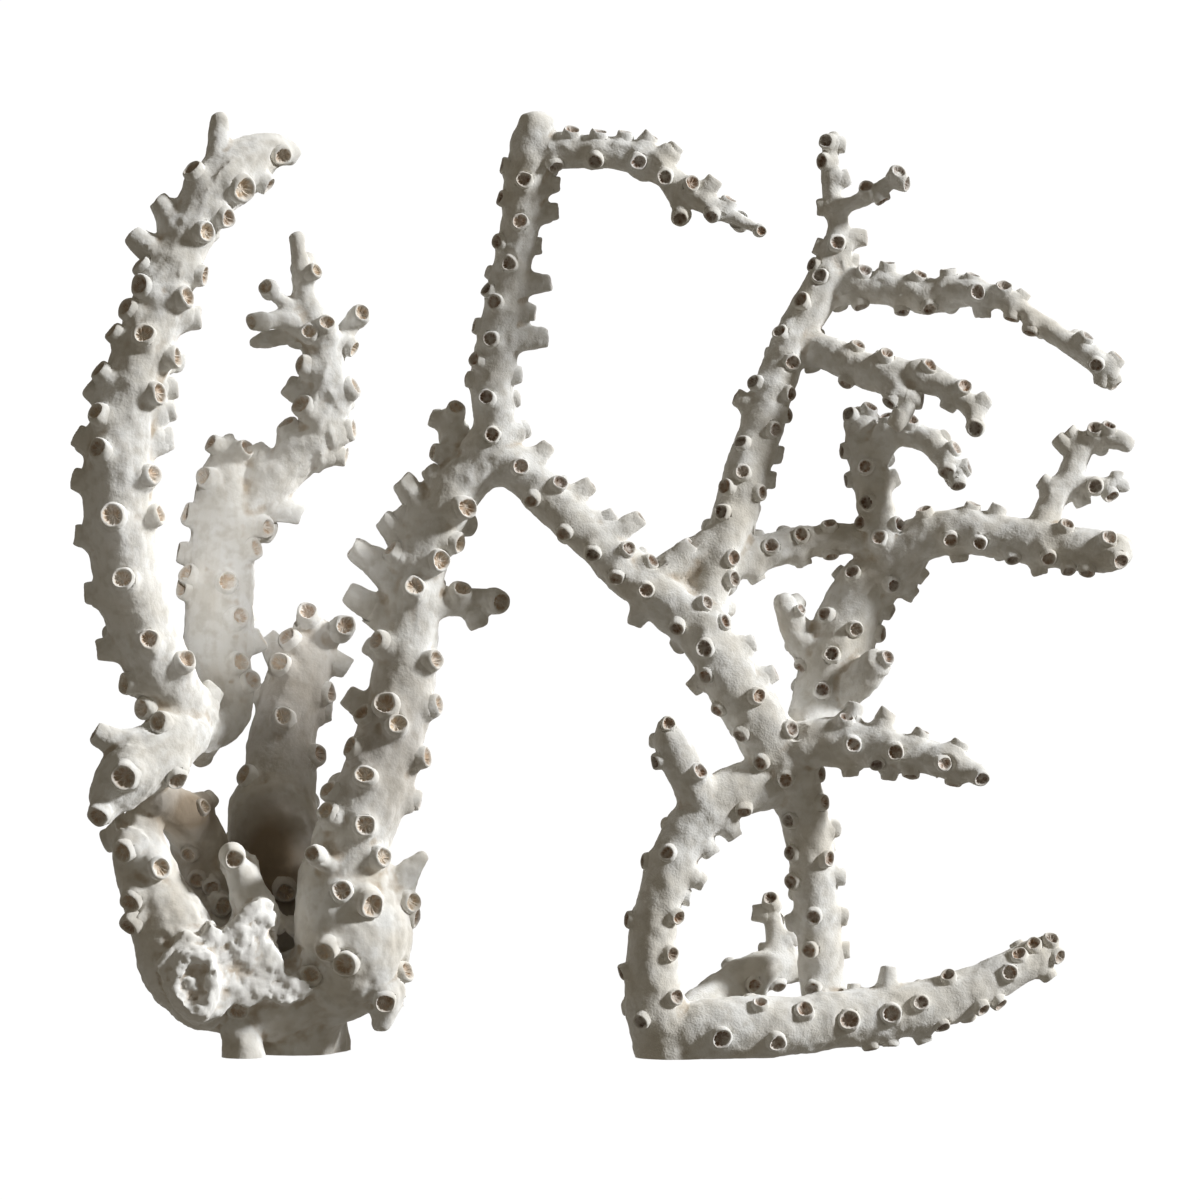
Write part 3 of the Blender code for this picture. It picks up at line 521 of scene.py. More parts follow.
def back_cups(name, taken):
    """Cups on the side that the picture doesn't show, spread by turns of the golden ratio."""
    limb = LIMBS[name]
    cups = []
    turn = FIRST_TURN
    for line in LINES[name]:
        walked = 0.5 * limb.back_spacing
        for (spot, radius), (ahead, _) in zip(line, line[1:]):
            along = ahead - spot
            walked += along.length
            if walked < limb.back_spacing:
                continue
            walked -= limb.back_spacing
            turn = (turn + GOLDEN_TURN) % 1
            angle = math.pi * (BACK_FROM + BACK_SPAN * turn)
            aside = along.cross(Vector((0, 1, 0))).normalized()
            away = aside * math.cos(angle) + aside.cross(along).normalized() * math.sin(angle)
            if away.y < 0:
                away.y = -away.y
            mouth = spot + away * (radius + limb.height * (BACK_RISE[0] + BACK_RISE[1] * turn))
            clear = all((mouth - other).length > LEAST_CUP_GAP * limb.mouth for _, other, *_ in taken + cups)
            if clear and mouth.z > limb.mouth and not buried(mouth, name):
                cups.append((spot, mouth, limb.mouth * (BACK_WIDTH[0] + BACK_WIDTH[1] * turn), radius))
    return cups


# The grown skeleton: fineness of its surface and its lumps
GRAIN_SIZE = 0.97 * MM
SMOOTHINGS = 7
LUMP_SIZE = 13 * MM
LUMP_HEIGHT = 2.1 * MM
BUMP_SIZE = 5 * MM
BUMP_HEIGHT = 1.0 * MM
PIMPLE_SIZE = 1.7 * MM
PIMPLE_HEIGHT = 0.2 * MM
CRAG_SIZE = 5 * MM
CRAG_HEIGHT = 3.0 * MM
CRUMB_SIZE = 1.8 * MM
CRUMB_HEIGHT = 1.5 * MM
TUBE_RINGS = 7
ROUND_END = ((0.35, 0.92), (0.62, 0.72), (0.78, 0.4))
TIE = 1.5 * MM
HOLLOW_ROUNDS = 25
HOLLOW_DEPTH = 0.5 * MM
CHUNK = 20000


def only(thing):
    """Selects one object alone and makes it the active one."""
    bpy.ops.object.select_all(action="DESELECT")
    thing.select_set(True)
    bpy.context.view_layer.objects.active = thing


def joined(things, name):
    """Joins objects into one."""
    only(things[0])
    for thing in things[1:]:
        thing.select_set(True)
    if len(things) > 1:
        bpy.ops.object.join()
    whole = bpy.context.view_layer.objects.active
    whole.name = name
    whole.data.name = name
    return whole


def finished(thing, kind, **settings):
    """Adds a modifier, sets it and applies it."""
    only(thing)
    modifier = thing.modifiers.new(kind.lower(), kind)
    for setting, value in settings.items():
        setattr(modifier, setting, value)
    bpy.ops.object.modifier_apply(modifier=modifier.name)


def limb_tube(line, name):
    """A round tube along a limb's line, with blunt rounded ends."""
    rounded = []
    for (end, end_radius), before in ((line[0], line[2][0]), (line[-1], line[-3][0])):
        onward = (end - before).normalized()
        rounded.append([(end + onward * end_radius * rise, end_radius * share) for rise, share in ROUND_END])
    bpy.ops.object.select_all(action="DESELECT")
    bpy.ops.curve.primitive_nurbs_path_add()
    guide = bpy.context.object
    guide.name = name
    curve = guide.data
    curve.splines.clear()
    curve.bevel_depth = 1.0
    curve.bevel_resolution = TUBE_RINGS
    curve.use_fill_caps = True
    spline = curve.splines.new("POLY")
    rings = rounded[0][::-1] + line + rounded[1]
    spline.points.add(len(rings) - 1)
    for point, (spot, radius) in zip(spline.points, rings):
        point.co = (*spot, 1)
        point.radius = radius
    only(guide)
    bpy.ops.object.convert(target="MESH")
    return bpy.context.object


def turned_solid(rings, sides, name):
    """A closed turned solid: a filled circle drawn up through rings of (radius, height)."""
    bpy.ops.object.select_all(action="DESELECT")
    radius, height = rings[0]
    bpy.ops.mesh.primitive_circle_add(vertices=sides, radius=radius, fill_type="NGON", location=(0, 0, height))
    solid = bpy.context.object
    solid.name = name
    bpy.ops.object.transform_apply(location=True, rotation=True, scale=True)
    bpy.ops.object.mode_set(mode="EDIT")
    bpy.ops.mesh.select_all(action="SELECT")
    for new_radius, new_height in rings[1:]:
        bpy.ops.mesh.extrude_region_move(TRANSFORM_OT_translate={"value": (0, 0, new_height - height)})
        share = new_radius / radius
        bpy.ops.transform.resize(value=(share, share, 1), center_override=(0, 0, new_height))
        radius, height = new_radius, new_height
    bpy.ops.mesh.poke()
    bpy.ops.mesh.select_all(action="SELECT")
    bpy.ops.mesh.normals_make_consistent(inside=False)
    bpy.ops.object.mode_set(mode="OBJECT")
    return solid


# A cup in units of its mouth's radius: outer wall, rim, and the bowl inside
CUP_FOOT = -3.0
CUP_RINGS = [(1.1, CUP_FOOT), (1.16, -1.7), (1.12, -1.2), (1.07, -0.8), (1.03, -0.5), (0.98, -0.26), (0.92, -0.1),
             (0.85, -0.02), (0.79, 0.0), (0.73, -0.05), (0.69, -0.16), (0.64, -0.36), (0.46, -0.52), (0.2, -0.54)]
SEPTUM_SHIFTS = {0.85: (0.0, 0.0), 0.79: (0.0, 0.02), 0.73: (0.03, 0.03), 0.69: (0.07, 0.05), 0.64: (0.13, 0.09),
                 0.46: (0.12, 0.09), 0.2: (0.02, 0.04)}
INSIDE_BY_RADIUS = {0.85: 0.07, 0.79: 0.14, 0.73: 0.24, 0.69: 0.6, 0.64: 0.95, 0.46: 1.0, 0.2: 0.8}
OUTER_WALL = 0.85
WALL_SLACK = 0.02
RIDGE_SIZES = (1.0, 0.0, 0.3, 0.0)
RIDGE_PALENESS = 0.22
CUP_TILT = {WIDE_MOUTH: 0.5, NARROW_MOUTH: 0.25}
CUP_LEAN = 0.42
CUP_WEAR = 0.17
CUP_WEAR_SIZE = 1.2
CUP_ROOT = 0.75
CUP_ROOT_TOP = 0.66
WIDE_CUP_SIDES = 32
NARROW_CUP_SIDES = 24
CUP_TONE_SIZE = 3 * MM
# The share of the brown soil and painted shade at its mouth that a cup takes
CUP_SHADE_AND_SOIL = 0.6


def model_cup(sides):
    """One cup with its bowl: ridges, each second one small, run down the bowl's wall to its floor."""
    cup = turned_solid(CUP_RINGS, sides, "cup")
    mesh = cup.data
    inside = mesh.attributes.new("inside", "FLOAT", "POINT")
    for v in mesh.vertices:
        radius = math.hypot(v.co.x, v.co.y)
        if v.co.z < CUP_FOOT / 2 or radius > OUTER_WALL + WALL_SLACK:
            continue
        step = round(math.atan2(v.co.y, v.co.x) / (2 * math.pi) * sides) % len(RIDGE_SIZES)
        size = RIDGE_SIZES[step]
        ring = min(SEPTUM_SHIFTS, key=lambda one: abs(one - radius))
        inside.data[v.index].value = INSIDE_BY_RADIUS.get(ring, 0.0) * (1 - RIDGE_PALENESS * size)
        inwards, upwards = SEPTUM_SHIFTS[ring]
        v.co.x *= 1 - inwards * size / max(radius, ring)
        v.co.y *= 1 - inwards * size / max(radius, ring)
        v.co.z += upwards * size
    return cup


# The broken patch in front of the base: an outline in the picture, its depth in mm, and the stump of a lost limb
BROKEN_OUTLINE = [(172, 948), (186, 930), (204, 938), (211, 921), (226, 937), (246, 908), (262, 896), (268, 912),
                  (277, 916), (268, 934), (276, 947), (283, 955), (282, 973), (300, 979), (317, 985), (304, 1000),
                  (280, 1004), (264, 998), (250, 1010), (236, 1004), (222, 1016), (203, 1024), (182, 1010), (164, 985),
                  (158, 964)]
BROKEN_LEFT = 160
BROKEN_FRONT = -33.0
BROKEN_LEAN = 0.07
BROKEN_THICKNESS = 14 * MM
BROKEN_SPOTS = [(190, 980, 60), (225, 960, 60), (265, 925, 45), (290, 985, 40)]
BROKEN_DEEPEST = -8 * MM
BROKEN_EDGE = 1.6
BROKEN_FACING = 0.6

# Brown soil and painted shade: each place, how far it reaches across, back and up, and how strong it is. The hollow
# between the base's lobes gets brown soil darkened as painted shade; the valley, the place under the left stub, the
# back limb and the right limb's lower stretch get painted shade
SHADE_AND_SOIL_EDGE = 1.5
SHADE_AND_SOIL_PLACES = [
    ((268, 862, 16), (22 * MM, 26 * MM, 38 * MM), 1.0),
    ((196, 868, 0), (12 * MM, 20 * MM, 16 * MM), 0.6),
    ((196, 812, -6), (22 * MM, 26 * MM, 17 * MM), 0.95),
    ((300, 715, 46), (26 * MM, 30 * MM, 46 * MM), 0.45),
    ((385, 745, 0), (28 * MM, 30 * MM, 40 * MM), 0.42),
]
# The stump of a lost limb: rings of (radius, height), then its place, way, size and wear
STUMP_RINGS = [(1.25, 0.0), (1.18, 0.55), (1.08, 0.8), (0.94, 0.92), (0.78, 0.93), (0.6, 0.82), (0.42, 0.7),
               (0.2, 0.78)]
STUMP_SIDES = 24
STUMP_PLACE = (198, 982, -22)
STUMP_WAY = Vector((-0.05, -1.0, 0.05)).normalized()
STUMP_SIZE = (8.0 * MM, 12.0 * MM, 15 * MM)
STUMP_WEAR = 1.6 * MM
STUMP_WEAR_SIZE = 6 * MM

# A cup's swollen foot, in units of its mouth's radius and of its height, on thick limbs and on thin twigs
MOUND_RINGS = [(2.0, 0.0), (1.62, 0.2), (1.36, 0.45), (1.2, 0.75), (1.0, 1.0)]
THIN_MOUND_RINGS = [(1.2, 0.0), (1.16, 0.3), (1.12, 0.65), (1.0, 1.0)]
MOUND_SIDES = 16
THIN_TWIG = 1.5
MOUND_SINK = 0.35
MOUND_DROP = 0.5
LEAST_MOUND = 0.3

# The skin round a cup, in units of its mouth's radius: how far round it is looked at and pushed down, how deep under
# the bowl, and how it slopes from the bowl's edge
SKIN_LOOK = 1.6
SKIN_REACH = 1.25
SKIN_TOP = 0.8
BOWL_DEPTH = 1.05
BOWL_EDGE = 0.86
EDGE_DROP = 0.62
EDGE_SLOPE = 1.3


def frame_of(direction, turn):
    """Axes of a thing that points along a direction, turned about it."""
    return direction.to_track_quat("Z", "Y").to_matrix() @ Matrix.Rotation(turn, 3, "Z")


def copied(prototype, axes, origin, scale, name):
    """A copy with its own mesh, scaled, turned and put in place."""
    mesh = prototype.data.copy()
    mesh.transform(Matrix.Translation(origin) @ axes.to_4x4() @ Matrix.Diagonal((*scale, 1)))
    copy = bpy.data.objects.new(name, mesh)
    bpy.context.scene.collection.objects.link(copy)
    return copy


def points_of(mesh):
    """A mesh's points as an array."""
    flat = np.empty(len(mesh.vertices) * 3, np.float32)
    mesh.vertices.foreach_get("co", flat)
    return flat.reshape(-1, 3)


def set_points(mesh, points):
    """Puts a mesh's points in new places."""
    mesh.vertices.foreach_set("co", points.astype(np.float32).ravel())
    mesh.update()


def limb_samples():
    """Places, radii and directions along every limb, with where each limb's own begin."""
    places, radii, ways, starts = [], [], [], []
    for lines in LINES.values():
        starts.append(len(places))
        for line in lines:
            for i, (spot, radius) in enumerate(line):
                ahead = line[min(i + 1, len(line) - 1)][0]
                behind = line[max(i - 1, 0)][0]
                places.append(spot)
                radii.append(radius)
                ways.append((ahead - behind).normalized())
    return np.array(places, np.float32), np.array(radii, np.float32), np.array(ways, np.float32), np.array(starts)


def nearest_limbs(points):
    """For each point, the limb that it belongs to, and its offset from that limb's line."""
    places, radii, ways, starts = limb_samples()
    owners = np.empty(len(points), np.int32)
    offsets = np.empty((len(points), 3), np.float32)
    squares = (places**2).sum(1)
    for first in range(0, len(points), CHUNK):
        some = points[first : first + CHUNK]
        apart = (some**2).sum(1)[:, None] + squares[None] - 2 * some @ places.T
        cost = np.sqrt(np.maximum(apart, 0)) - radii[None]
        by_limb = np.minimum.reduceat(cost, starts, axis=1)
        best = by_limb.min(1)
        owners[first : first + CHUNK] = np.argmax(by_limb <= best[:, None] + TIE, axis=1)
        which = cost.argmin(1)
        away = some - places[which]
        along = (away * ways[which]).sum(1, keepdims=True)
        offsets[first : first + CHUNK] = away - along * ways[which]
    return owners, offsets


def all_cups():
    """Every cup by limb: foot, mouth, width and the limb's radius. Each foot is moved back, so the cup leans onward."""
    places, _, ways, _ = limb_samples()
    cups = {}
    for name, limb in LIMBS.items():
        front = front_cups(name)
        back = back_cups(name, front) if limb.back_cups else []
        cups[name] = []
        for foot, mouth, width, radius in front + back:
            way = Vector(ways[np.square(places - np.array(foot)).sum(1).argmin()].tolist())
            back_along = CUP_TILT[limb.mouth] * ((mouth - foot).length - 0.5 * radius)
            cups[name].append((foot - way * back_along, mouth, width, radius))
    return cups


def grow_body(cups):
    """The whole skeleton in one skin: tubes, the cups' swollen feet and the broken base, melted together."""
    parts = [limb_tube(line, name) for name, lines in LINES.items() for line in lines]
    mound = turned_solid(MOUND_RINGS, MOUND_SIDES, "mound")
    thin_mound = turned_solid(THIN_MOUND_RINGS, MOUND_SIDES, "thin_mound")
    for name, found in cups.items():
        for foot, mouth, width, radius in found:
            way = (mouth - foot).normalized()
            reach = (mouth - foot).length
            size = width / 2
            low = radius - MOUND_SINK * radius
            high = max(reach - MOUND_DROP * size, low + LEAST_MOUND * size)
            shape = thin_mound if radius < THIN_TWIG * size else mound
            parts.append(copied(shape, frame_of(way, 0), foot + way * low, (size, size, high - low), "mound"))
    parts += broken_pieces()
    bpy.data.objects.remove(mound)
    bpy.data.objects.remove(thin_mound)
    body = joined(parts, "body")
    finished(body, "REMESH", mode="VOXEL", voxel_size=GRAIN_SIZE)
    finished(body, "SMOOTH", factor=0.5, iterations=SMOOTHINGS)
    return body


def broken_pieces():
    """What broke at the base: a jagged slab of old skeleton, and the oval stump of a lost limb."""
    bpy.ops.object.select_all(action="DESELECT")
    mesh = bpy.data.meshes.new("broken_slab")
    rim = [
        place(across, down, BROKEN_FRONT + (across - BROKEN_LEFT) * BROKEN_LEAN) for across, down in BROKEN_OUTLINE
    ]
    mesh.from_pydata(rim, [], [list(range(len(rim)))])
    slab = bpy.data.objects.new("broken_slab", mesh)
    bpy.context.scene.collection.objects.link(slab)
    only(slab)
    bpy.ops.object.mode_set(mode="EDIT")
    bpy.ops.mesh.select_all(action="SELECT")
    bpy.ops.mesh.extrude_region_move(TRANSFORM_OT_translate={"value": (0, BROKEN_THICKNESS, 0)})
    bpy.ops.mesh.select_all(action="SELECT")
    bpy.ops.mesh.normals_make_consistent(inside=False)
    bpy.ops.object.mode_set(mode="OBJECT")
    stump = turned_solid(STUMP_RINGS, STUMP_SIDES, "stump")
    mesh = stump.data
    mesh.transform(
        Matrix.Translation(place(*STUMP_PLACE)) @ frame_of(STUMP_WAY, 0).to_4x4() @ Matrix.Diagonal((*STUMP_SIZE, 1))
    )
    for v in mesh.vertices:
        v.co += noise.noise_vector(v.co / STUMP_WEAR_SIZE) * STUMP_WEAR
    return [slab, stump]


def broken_share(points, normals):
    """How broken the skin is at each point, from 0 to 1: near the slab, on the side that faces the front."""
    seen_across = points[:, 0] / PIXEL + BASE_ACROSS
    seen_down = FLOOR_DOWN - (points[:, 2] + SIGHT_SLOPE * points[:, 1]) / PIXEL
    share = np.zeros(len(points))
    for across, down, reach in BROKEN_SPOTS:
        apart = np.hypot(seen_across - across, seen_down - down) / reach
        share = np.maximum(share, np.clip(BROKEN_EDGE * (1 - apart), 0, 1))
    return share * (points[:, 1] < BROKEN_DEEPEST) * np.clip(BROKEN_FACING - normals[:, 1], 0, 1)


def shade_and_soil_share(points):
    """How much brown soil and painted shade the skin has at each point: the hollows between the base's lobes are brown,
    and the other places are darkened as painted shade.
    """
    share = np.zeros(len(points))
    for spot, reach, most in SHADE_AND_SOIL_PLACES:
        apart = np.linalg.norm((points - np.array(place(*spot))) / np.array(reach), axis=1)
        share = np.maximum(share, most * np.clip(SHADE_AND_SOIL_EDGE * (1 - apart), 0, 1))
    return share


def vertex_group(body, name, shares):
    """A group of the body's points, weighted in tenths."""
    group = body.vertex_groups.new(name=name)
    for tenth in range(1, 11):
        chosen = np.flatnonzero(np.round(shares * 10) == tenth)
        if len(chosen):
            group.add(chosen.tolist(), tenth / 10, "REPLACE")
    return name


def clouds(name, size):
    """A soft noise for a surface's lumps."""
    made = bpy.data.textures.new(name, "CLOUDS")
    made.noise_scale = size
    made.noise_depth = 2
    return made


def sink_bowls(body, cups):
    """Pushes the skin down under each cup's bowl and a little back from its rim."""
    points = points_of(body.data)
    order = np.argsort(points[:, 0])
    across = points[order, 0]
    for found in cups.values():
        for foot, mouth, width, _ in found:
            size = width / 2
            way = np.array((mouth - foot).normalized())
            centre = np.array(mouth)
            look = SKIN_LOOK * size
            first, last = np.searchsorted(across, (centre[0] - look, centre[0] + look))
            near = order[first:last]
            away = points[near] - centre
            height = away @ way
            around = np.linalg.norm(away - height[:, None] * way, axis=1)
            sloped = (-EDGE_DROP + EDGE_SLOPE * (around / size - BOWL_EDGE)) * size
            allowed = np.where(around < BOWL_EDGE * size, -BOWL_DEPTH * size, sloped)
            high = (around < SKIN_REACH * size) & (height > allowed) & (height < SKIN_TOP * size)
            points[near[high]] += ((allowed - height)[high][:, None] * way).astype(np.float32)
    set_points(body.data, points)


def normals_of(mesh):
    """A mesh's point normals as an array."""
    flat = np.empty(len(mesh.vertices) * 3, np.float32)
    mesh.vertex_normals.foreach_get("vector", flat)
    return flat.reshape(-1, 3)


def mark_hollows(body):
    """Writes how hollow the skin is at each point: above a half in a valley, below it on a crest."""
    mesh = body.data
    points = points_of(mesh)
    ends = np.empty(len(mesh.edges) * 2, np.int32)
    mesh.edges.foreach_get("vertices", ends)
    first, second = ends[0::2], ends[1::2]
    number = len(points)
    links = np.bincount(first, minlength=number) + np.bincount(second, minlength=number)
    soft = points.copy()
    for _ in range(HOLLOW_ROUNDS):
        sums = [
            np.bincount(first, soft[second, axis], number) + np.bincount(second, soft[first, axis], number)
            for axis in range(3)
        ]
        soft = np.stack(sums, axis=1) / np.maximum(links, 1)[:, None]
    depth = ((soft - points) * normals_of(mesh)).sum(1)
    mark = mesh.attributes.new("hollow", "FLOAT", "POINT")
    mark.data.foreach_set("value", np.clip(0.5 + 0.5 * depth / HOLLOW_DEPTH, 0, 1).astype(np.float32))


def roughen(body):
    """Lumps all over, grains on the slender limbs, and a rough break at the base."""
    points, normals = points_of(body.data), normals_of(body.data)
    owners, _ = nearest_limbs(points)
    slender = np.array([limb.mouth == NARROW_MOUTH for limb in LIMBS.values()])[owners].astype(float)
    slender_group = vertex_group(body, "slender", slender)
    broken = broken_share(points, normals)
    broken_group = vertex_group(body, "broken", broken)
    # The fresh break, and the brown soil with painted shade
    for name, shares in (("raw", broken), ("shade_and_soil", shade_and_soil_share(points))):
        mark = body.data.attributes.new(name, "FLOAT", "POINT")
        mark.data.foreach_set("value", shares.astype(np.float32))
    for name, size, height, group in (
        ("lumps", LUMP_SIZE, LUMP_HEIGHT, ""),
        ("bumps", BUMP_SIZE, BUMP_HEIGHT, ""),
        ("pimples", PIMPLE_SIZE, PIMPLE_HEIGHT, slender_group),
        ("crags", CRAG_SIZE, CRAG_HEIGHT, broken_group),
        ("crumbs", CRUMB_SIZE, CRUMB_HEIGHT, broken_group),
    ):
        finished(body, "DISPLACE", texture=clouds(name, size), texture_coords="LOCAL", strength=height,
                 mid_level=0.5, vertex_group=group)
    body.vertex_groups.clear()


def pressed_in(thing):
    """Keeps a piece inside the solids' box."""
    points = points_of(thing.data)
    set_points(thing.data, np.clip(points, np.array(cad_box[0]), np.array(cad_box[1])))


def split_body(body):
    """Splits the skin at the main forks, one piece for each limb."""
    mesh = body.data
    points = points_of(mesh)
    owners, offsets = nearest_limbs(points)
    strand = mesh.attributes.new("strand", "FLOAT_VECTOR", "POINT")
    strand.data.foreach_set("vector", offsets.ravel())
    firsts = np.empty(len(mesh.polygons), np.int32)
    mesh.polygons.foreach_get("loop_start", firsts)
    corners = np.empty(len(mesh.loops), np.int32)
    mesh.loops.foreach_get("vertex_index", corners)
    slots = owners[corners[firsts]]
    mesh.materials.clear()
    for name in LIMBS:
        mesh.materials.append(bpy.data.materials.new(name + "_mark"))
    mesh.polygons.foreach_set("material_index", slots)
    only(body)
    bpy.ops.object.mode_set(mode="EDIT")
    bpy.ops.mesh.select_all(action="SELECT")
    bpy.ops.mesh.separate(type="MATERIAL")
    bpy.ops.object.mode_set(mode="OBJECT")
    pieces = {}
    for thing in list(bpy.context.selected_objects):
        slot = min(thing.data.polygons[0].material_index, len(thing.data.materials) - 1)
        pieces[thing.data.materials[slot].name.removesuffix("_mark")] = thing
    for name in LIMBS:
        bpy.data.materials.remove(bpy.data.materials[name + "_mark"])
    return pieces


def close_piece(piece):
    """Draws each open edge loop together inside the fork."""
    only(piece)
    bpy.ops.object.mode_set(mode="EDIT")
    bpy.ops.mesh.select_mode(type="EDGE")
    bpy.ops.mesh.select_all(action="DESELECT")
    bpy.ops.mesh.select_non_manifold(extend=False, use_wire=False, use_boundary=True, use_multi_face=False,
                                     use_non_contiguous=False, use_verts=False)
    bpy.ops.mesh.extrude_edges_move(TRANSFORM_OT_translate={"value": (0, 0, 0)})
    bpy.ops.mesh.merge(type="COLLAPSE")
    bpy.ops.mesh.select_mode(type="VERT")
    bpy.ops.object.mode_set(mode="OBJECT")


def dress_cups(found, prototype):
    """The cups of one limb, each turned, leant and worn in its own way."""
    made = []
    for foot, mouth, width, _ in found:
        way = (mouth - foot).normalized()
        size = width / 2
        chance = noise.cell_vector(mouth / MM)
        copy = copied(prototype, frame_of(way, 2 * math.pi * chance.x), mouth, (size, size, size), "cup")
        mesh = copy.data
        points = points_of(mesh)
        away = points - np.array(mouth)
        depth = away @ np.array(way)
        lowest = -min((mouth - foot).length * CUP_ROOT, -CUP_FOOT * size)
        low = depth < CUP_ROOT_TOP * CUP_FOOT * size
        points[low] += (lowest - depth[low])[:, None] * np.array(way)
        lean = CUP_LEAN * (chance.y - 0.5)
        sideways = away @ np.array(frame_of(way, math.pi * chance.z).col[0])
        points += (lean * sideways * (depth > -size))[:, None] * np.array(way)
        for index in np.flatnonzero(depth > -CUP_WEAR_SIZE * size):
            shift = noise.noise_vector(Vector(points[index]) / (CUP_WEAR_SIZE * size))
            points[index] += np.array(shift) * CUP_WEAR * size
        set_points(mesh, points)
        tone = 0.5 + 0.5 * noise.noise(mouth / CUP_TONE_SIZE)
        # A cup takes part of the brown soil and painted shade at its mouth
        shade_and_soil = CUP_SHADE_AND_SOIL * shade_and_soil_share(np.array([mouth]))[0]
        for name, value in (("tone", tone), ("shade_and_soil", shade_and_soil)):
            mark = mesh.attributes.new(name, "FLOAT", "POINT")
            mark.data.foreach_set("value", [value] * len(mesh.vertices))
        made.append(copy)
    return made


class Finish:
    """Node trees built in short steps."""

    def __init__(self, name):
        self.material = bpy.data.materials.new(name)
        self.material.use_nodes = True
        self.nodes = self.material.node_tree.nodes
        self.links = self.material.node_tree.links
        self.shader = self.nodes["Principled BSDF"]
        self.place = self.nodes.new("ShaderNodeTexCoord").outputs["Object"]

    def attribute(self, name, output="Fac"):
        """A value written on the surface."""
        node = self.nodes.new("ShaderNodeAttribute")
        node.attribute_name = name
        return node.outputs[output]

    def noise(self, scale, detail, vector=None):
        """Noise over the object, or over another vector."""
        node = self.nodes.new("ShaderNodeTexNoise")
        node.inputs["Scale"].default_value = scale
        node.inputs["Detail"].default_value = detail
        self.links.new(vector or self.place, node.inputs["Vector"])
        return node.outputs["Fac"]

    def ramp(self, value, low, high, low_colour=(0, 0, 0), high_colour=(1, 1, 1)):
        """Blends from one colour to the other while the value goes from low to high."""
        node = self.nodes.new("ShaderNodeValToRGB")
        first, last = node.color_ramp.elements
        first.position, last.position = low, high
        first.color, last.color = (*low_colour, 1), (*high_colour, 1)
        self.links.new(value, node.inputs["Fac"])
        return node.outputs["Color"]

    def mix(self, share, first, second):
        """Mixes two colours, each a socket or a plain colour."""
        node = self.nodes.new("ShaderNodeMix")
        node.data_type = "RGBA"
        self.links.new(share, node.inputs["Factor"])
        for colour, socket in ((first, node.inputs["A"]), (second, node.inputs["B"])):
            if isinstance(colour, tuple):
                socket.default_value = (*colour, 1)
            else:
                self.links.new(colour, socket)
        return node.outputs["Result"]

    def product(self, first, second):
        """Two values multiplied."""
        node = self.nodes.new("ShaderNodeMath")
        node.operation = "MULTIPLY"
        self.links.new(first, node.inputs[0])
        self.links.new(second, node.inputs[1])
        return node.outputs["Value"]

    def bump(self, height, rise, strength, under=None):
        """Fine relief, over another one where that is given."""
        node = self.nodes.new("ShaderNodeBump")
        node.inputs["Distance"].default_value = rise
        node.inputs["Strength"].default_value = strength
        self.links.new(height, node.inputs["Height"])
        if under:
            self.links.new(under, node.inputs["Normal"])
        return node.outputs["Normal"]


# Finishes: how fine the stains, mottles, speckles and strands are, then the colours
STAIN_PER_METRE = 60
MOTTLE_PER_METRE = 260
SPECKLE_PER_METRE = 420
STRAND_PER_METRE = 520
# Dirt with painted shade for the hollows, also the strands' colour
DIRT_AND_SHADE = (0.50, 0.41, 0.30)
MOTTLE = (0.61, 0.58, 0.52)
# Brown soil with painted shade, for the shaded patches
SHADE_AND_SOIL_COLOUR = (0.29, 0.225, 0.155)
WHITE = (0.885, 0.882, 0.868)
FRESH = (0.93, 0.925, 0.91)
WIDE_BOWL = ((0.74, 0.62, 0.48), (0.50, 0.36, 0.24))
NARROW_BOWL = ((0.40, 0.25, 0.145), (0.19, 0.105, 0.055))
GRAIN_RISE = 0.6 * MM
STRAND_RISE = 0.8 * MM
SMOOTH_ANGLE = math.radians(55)


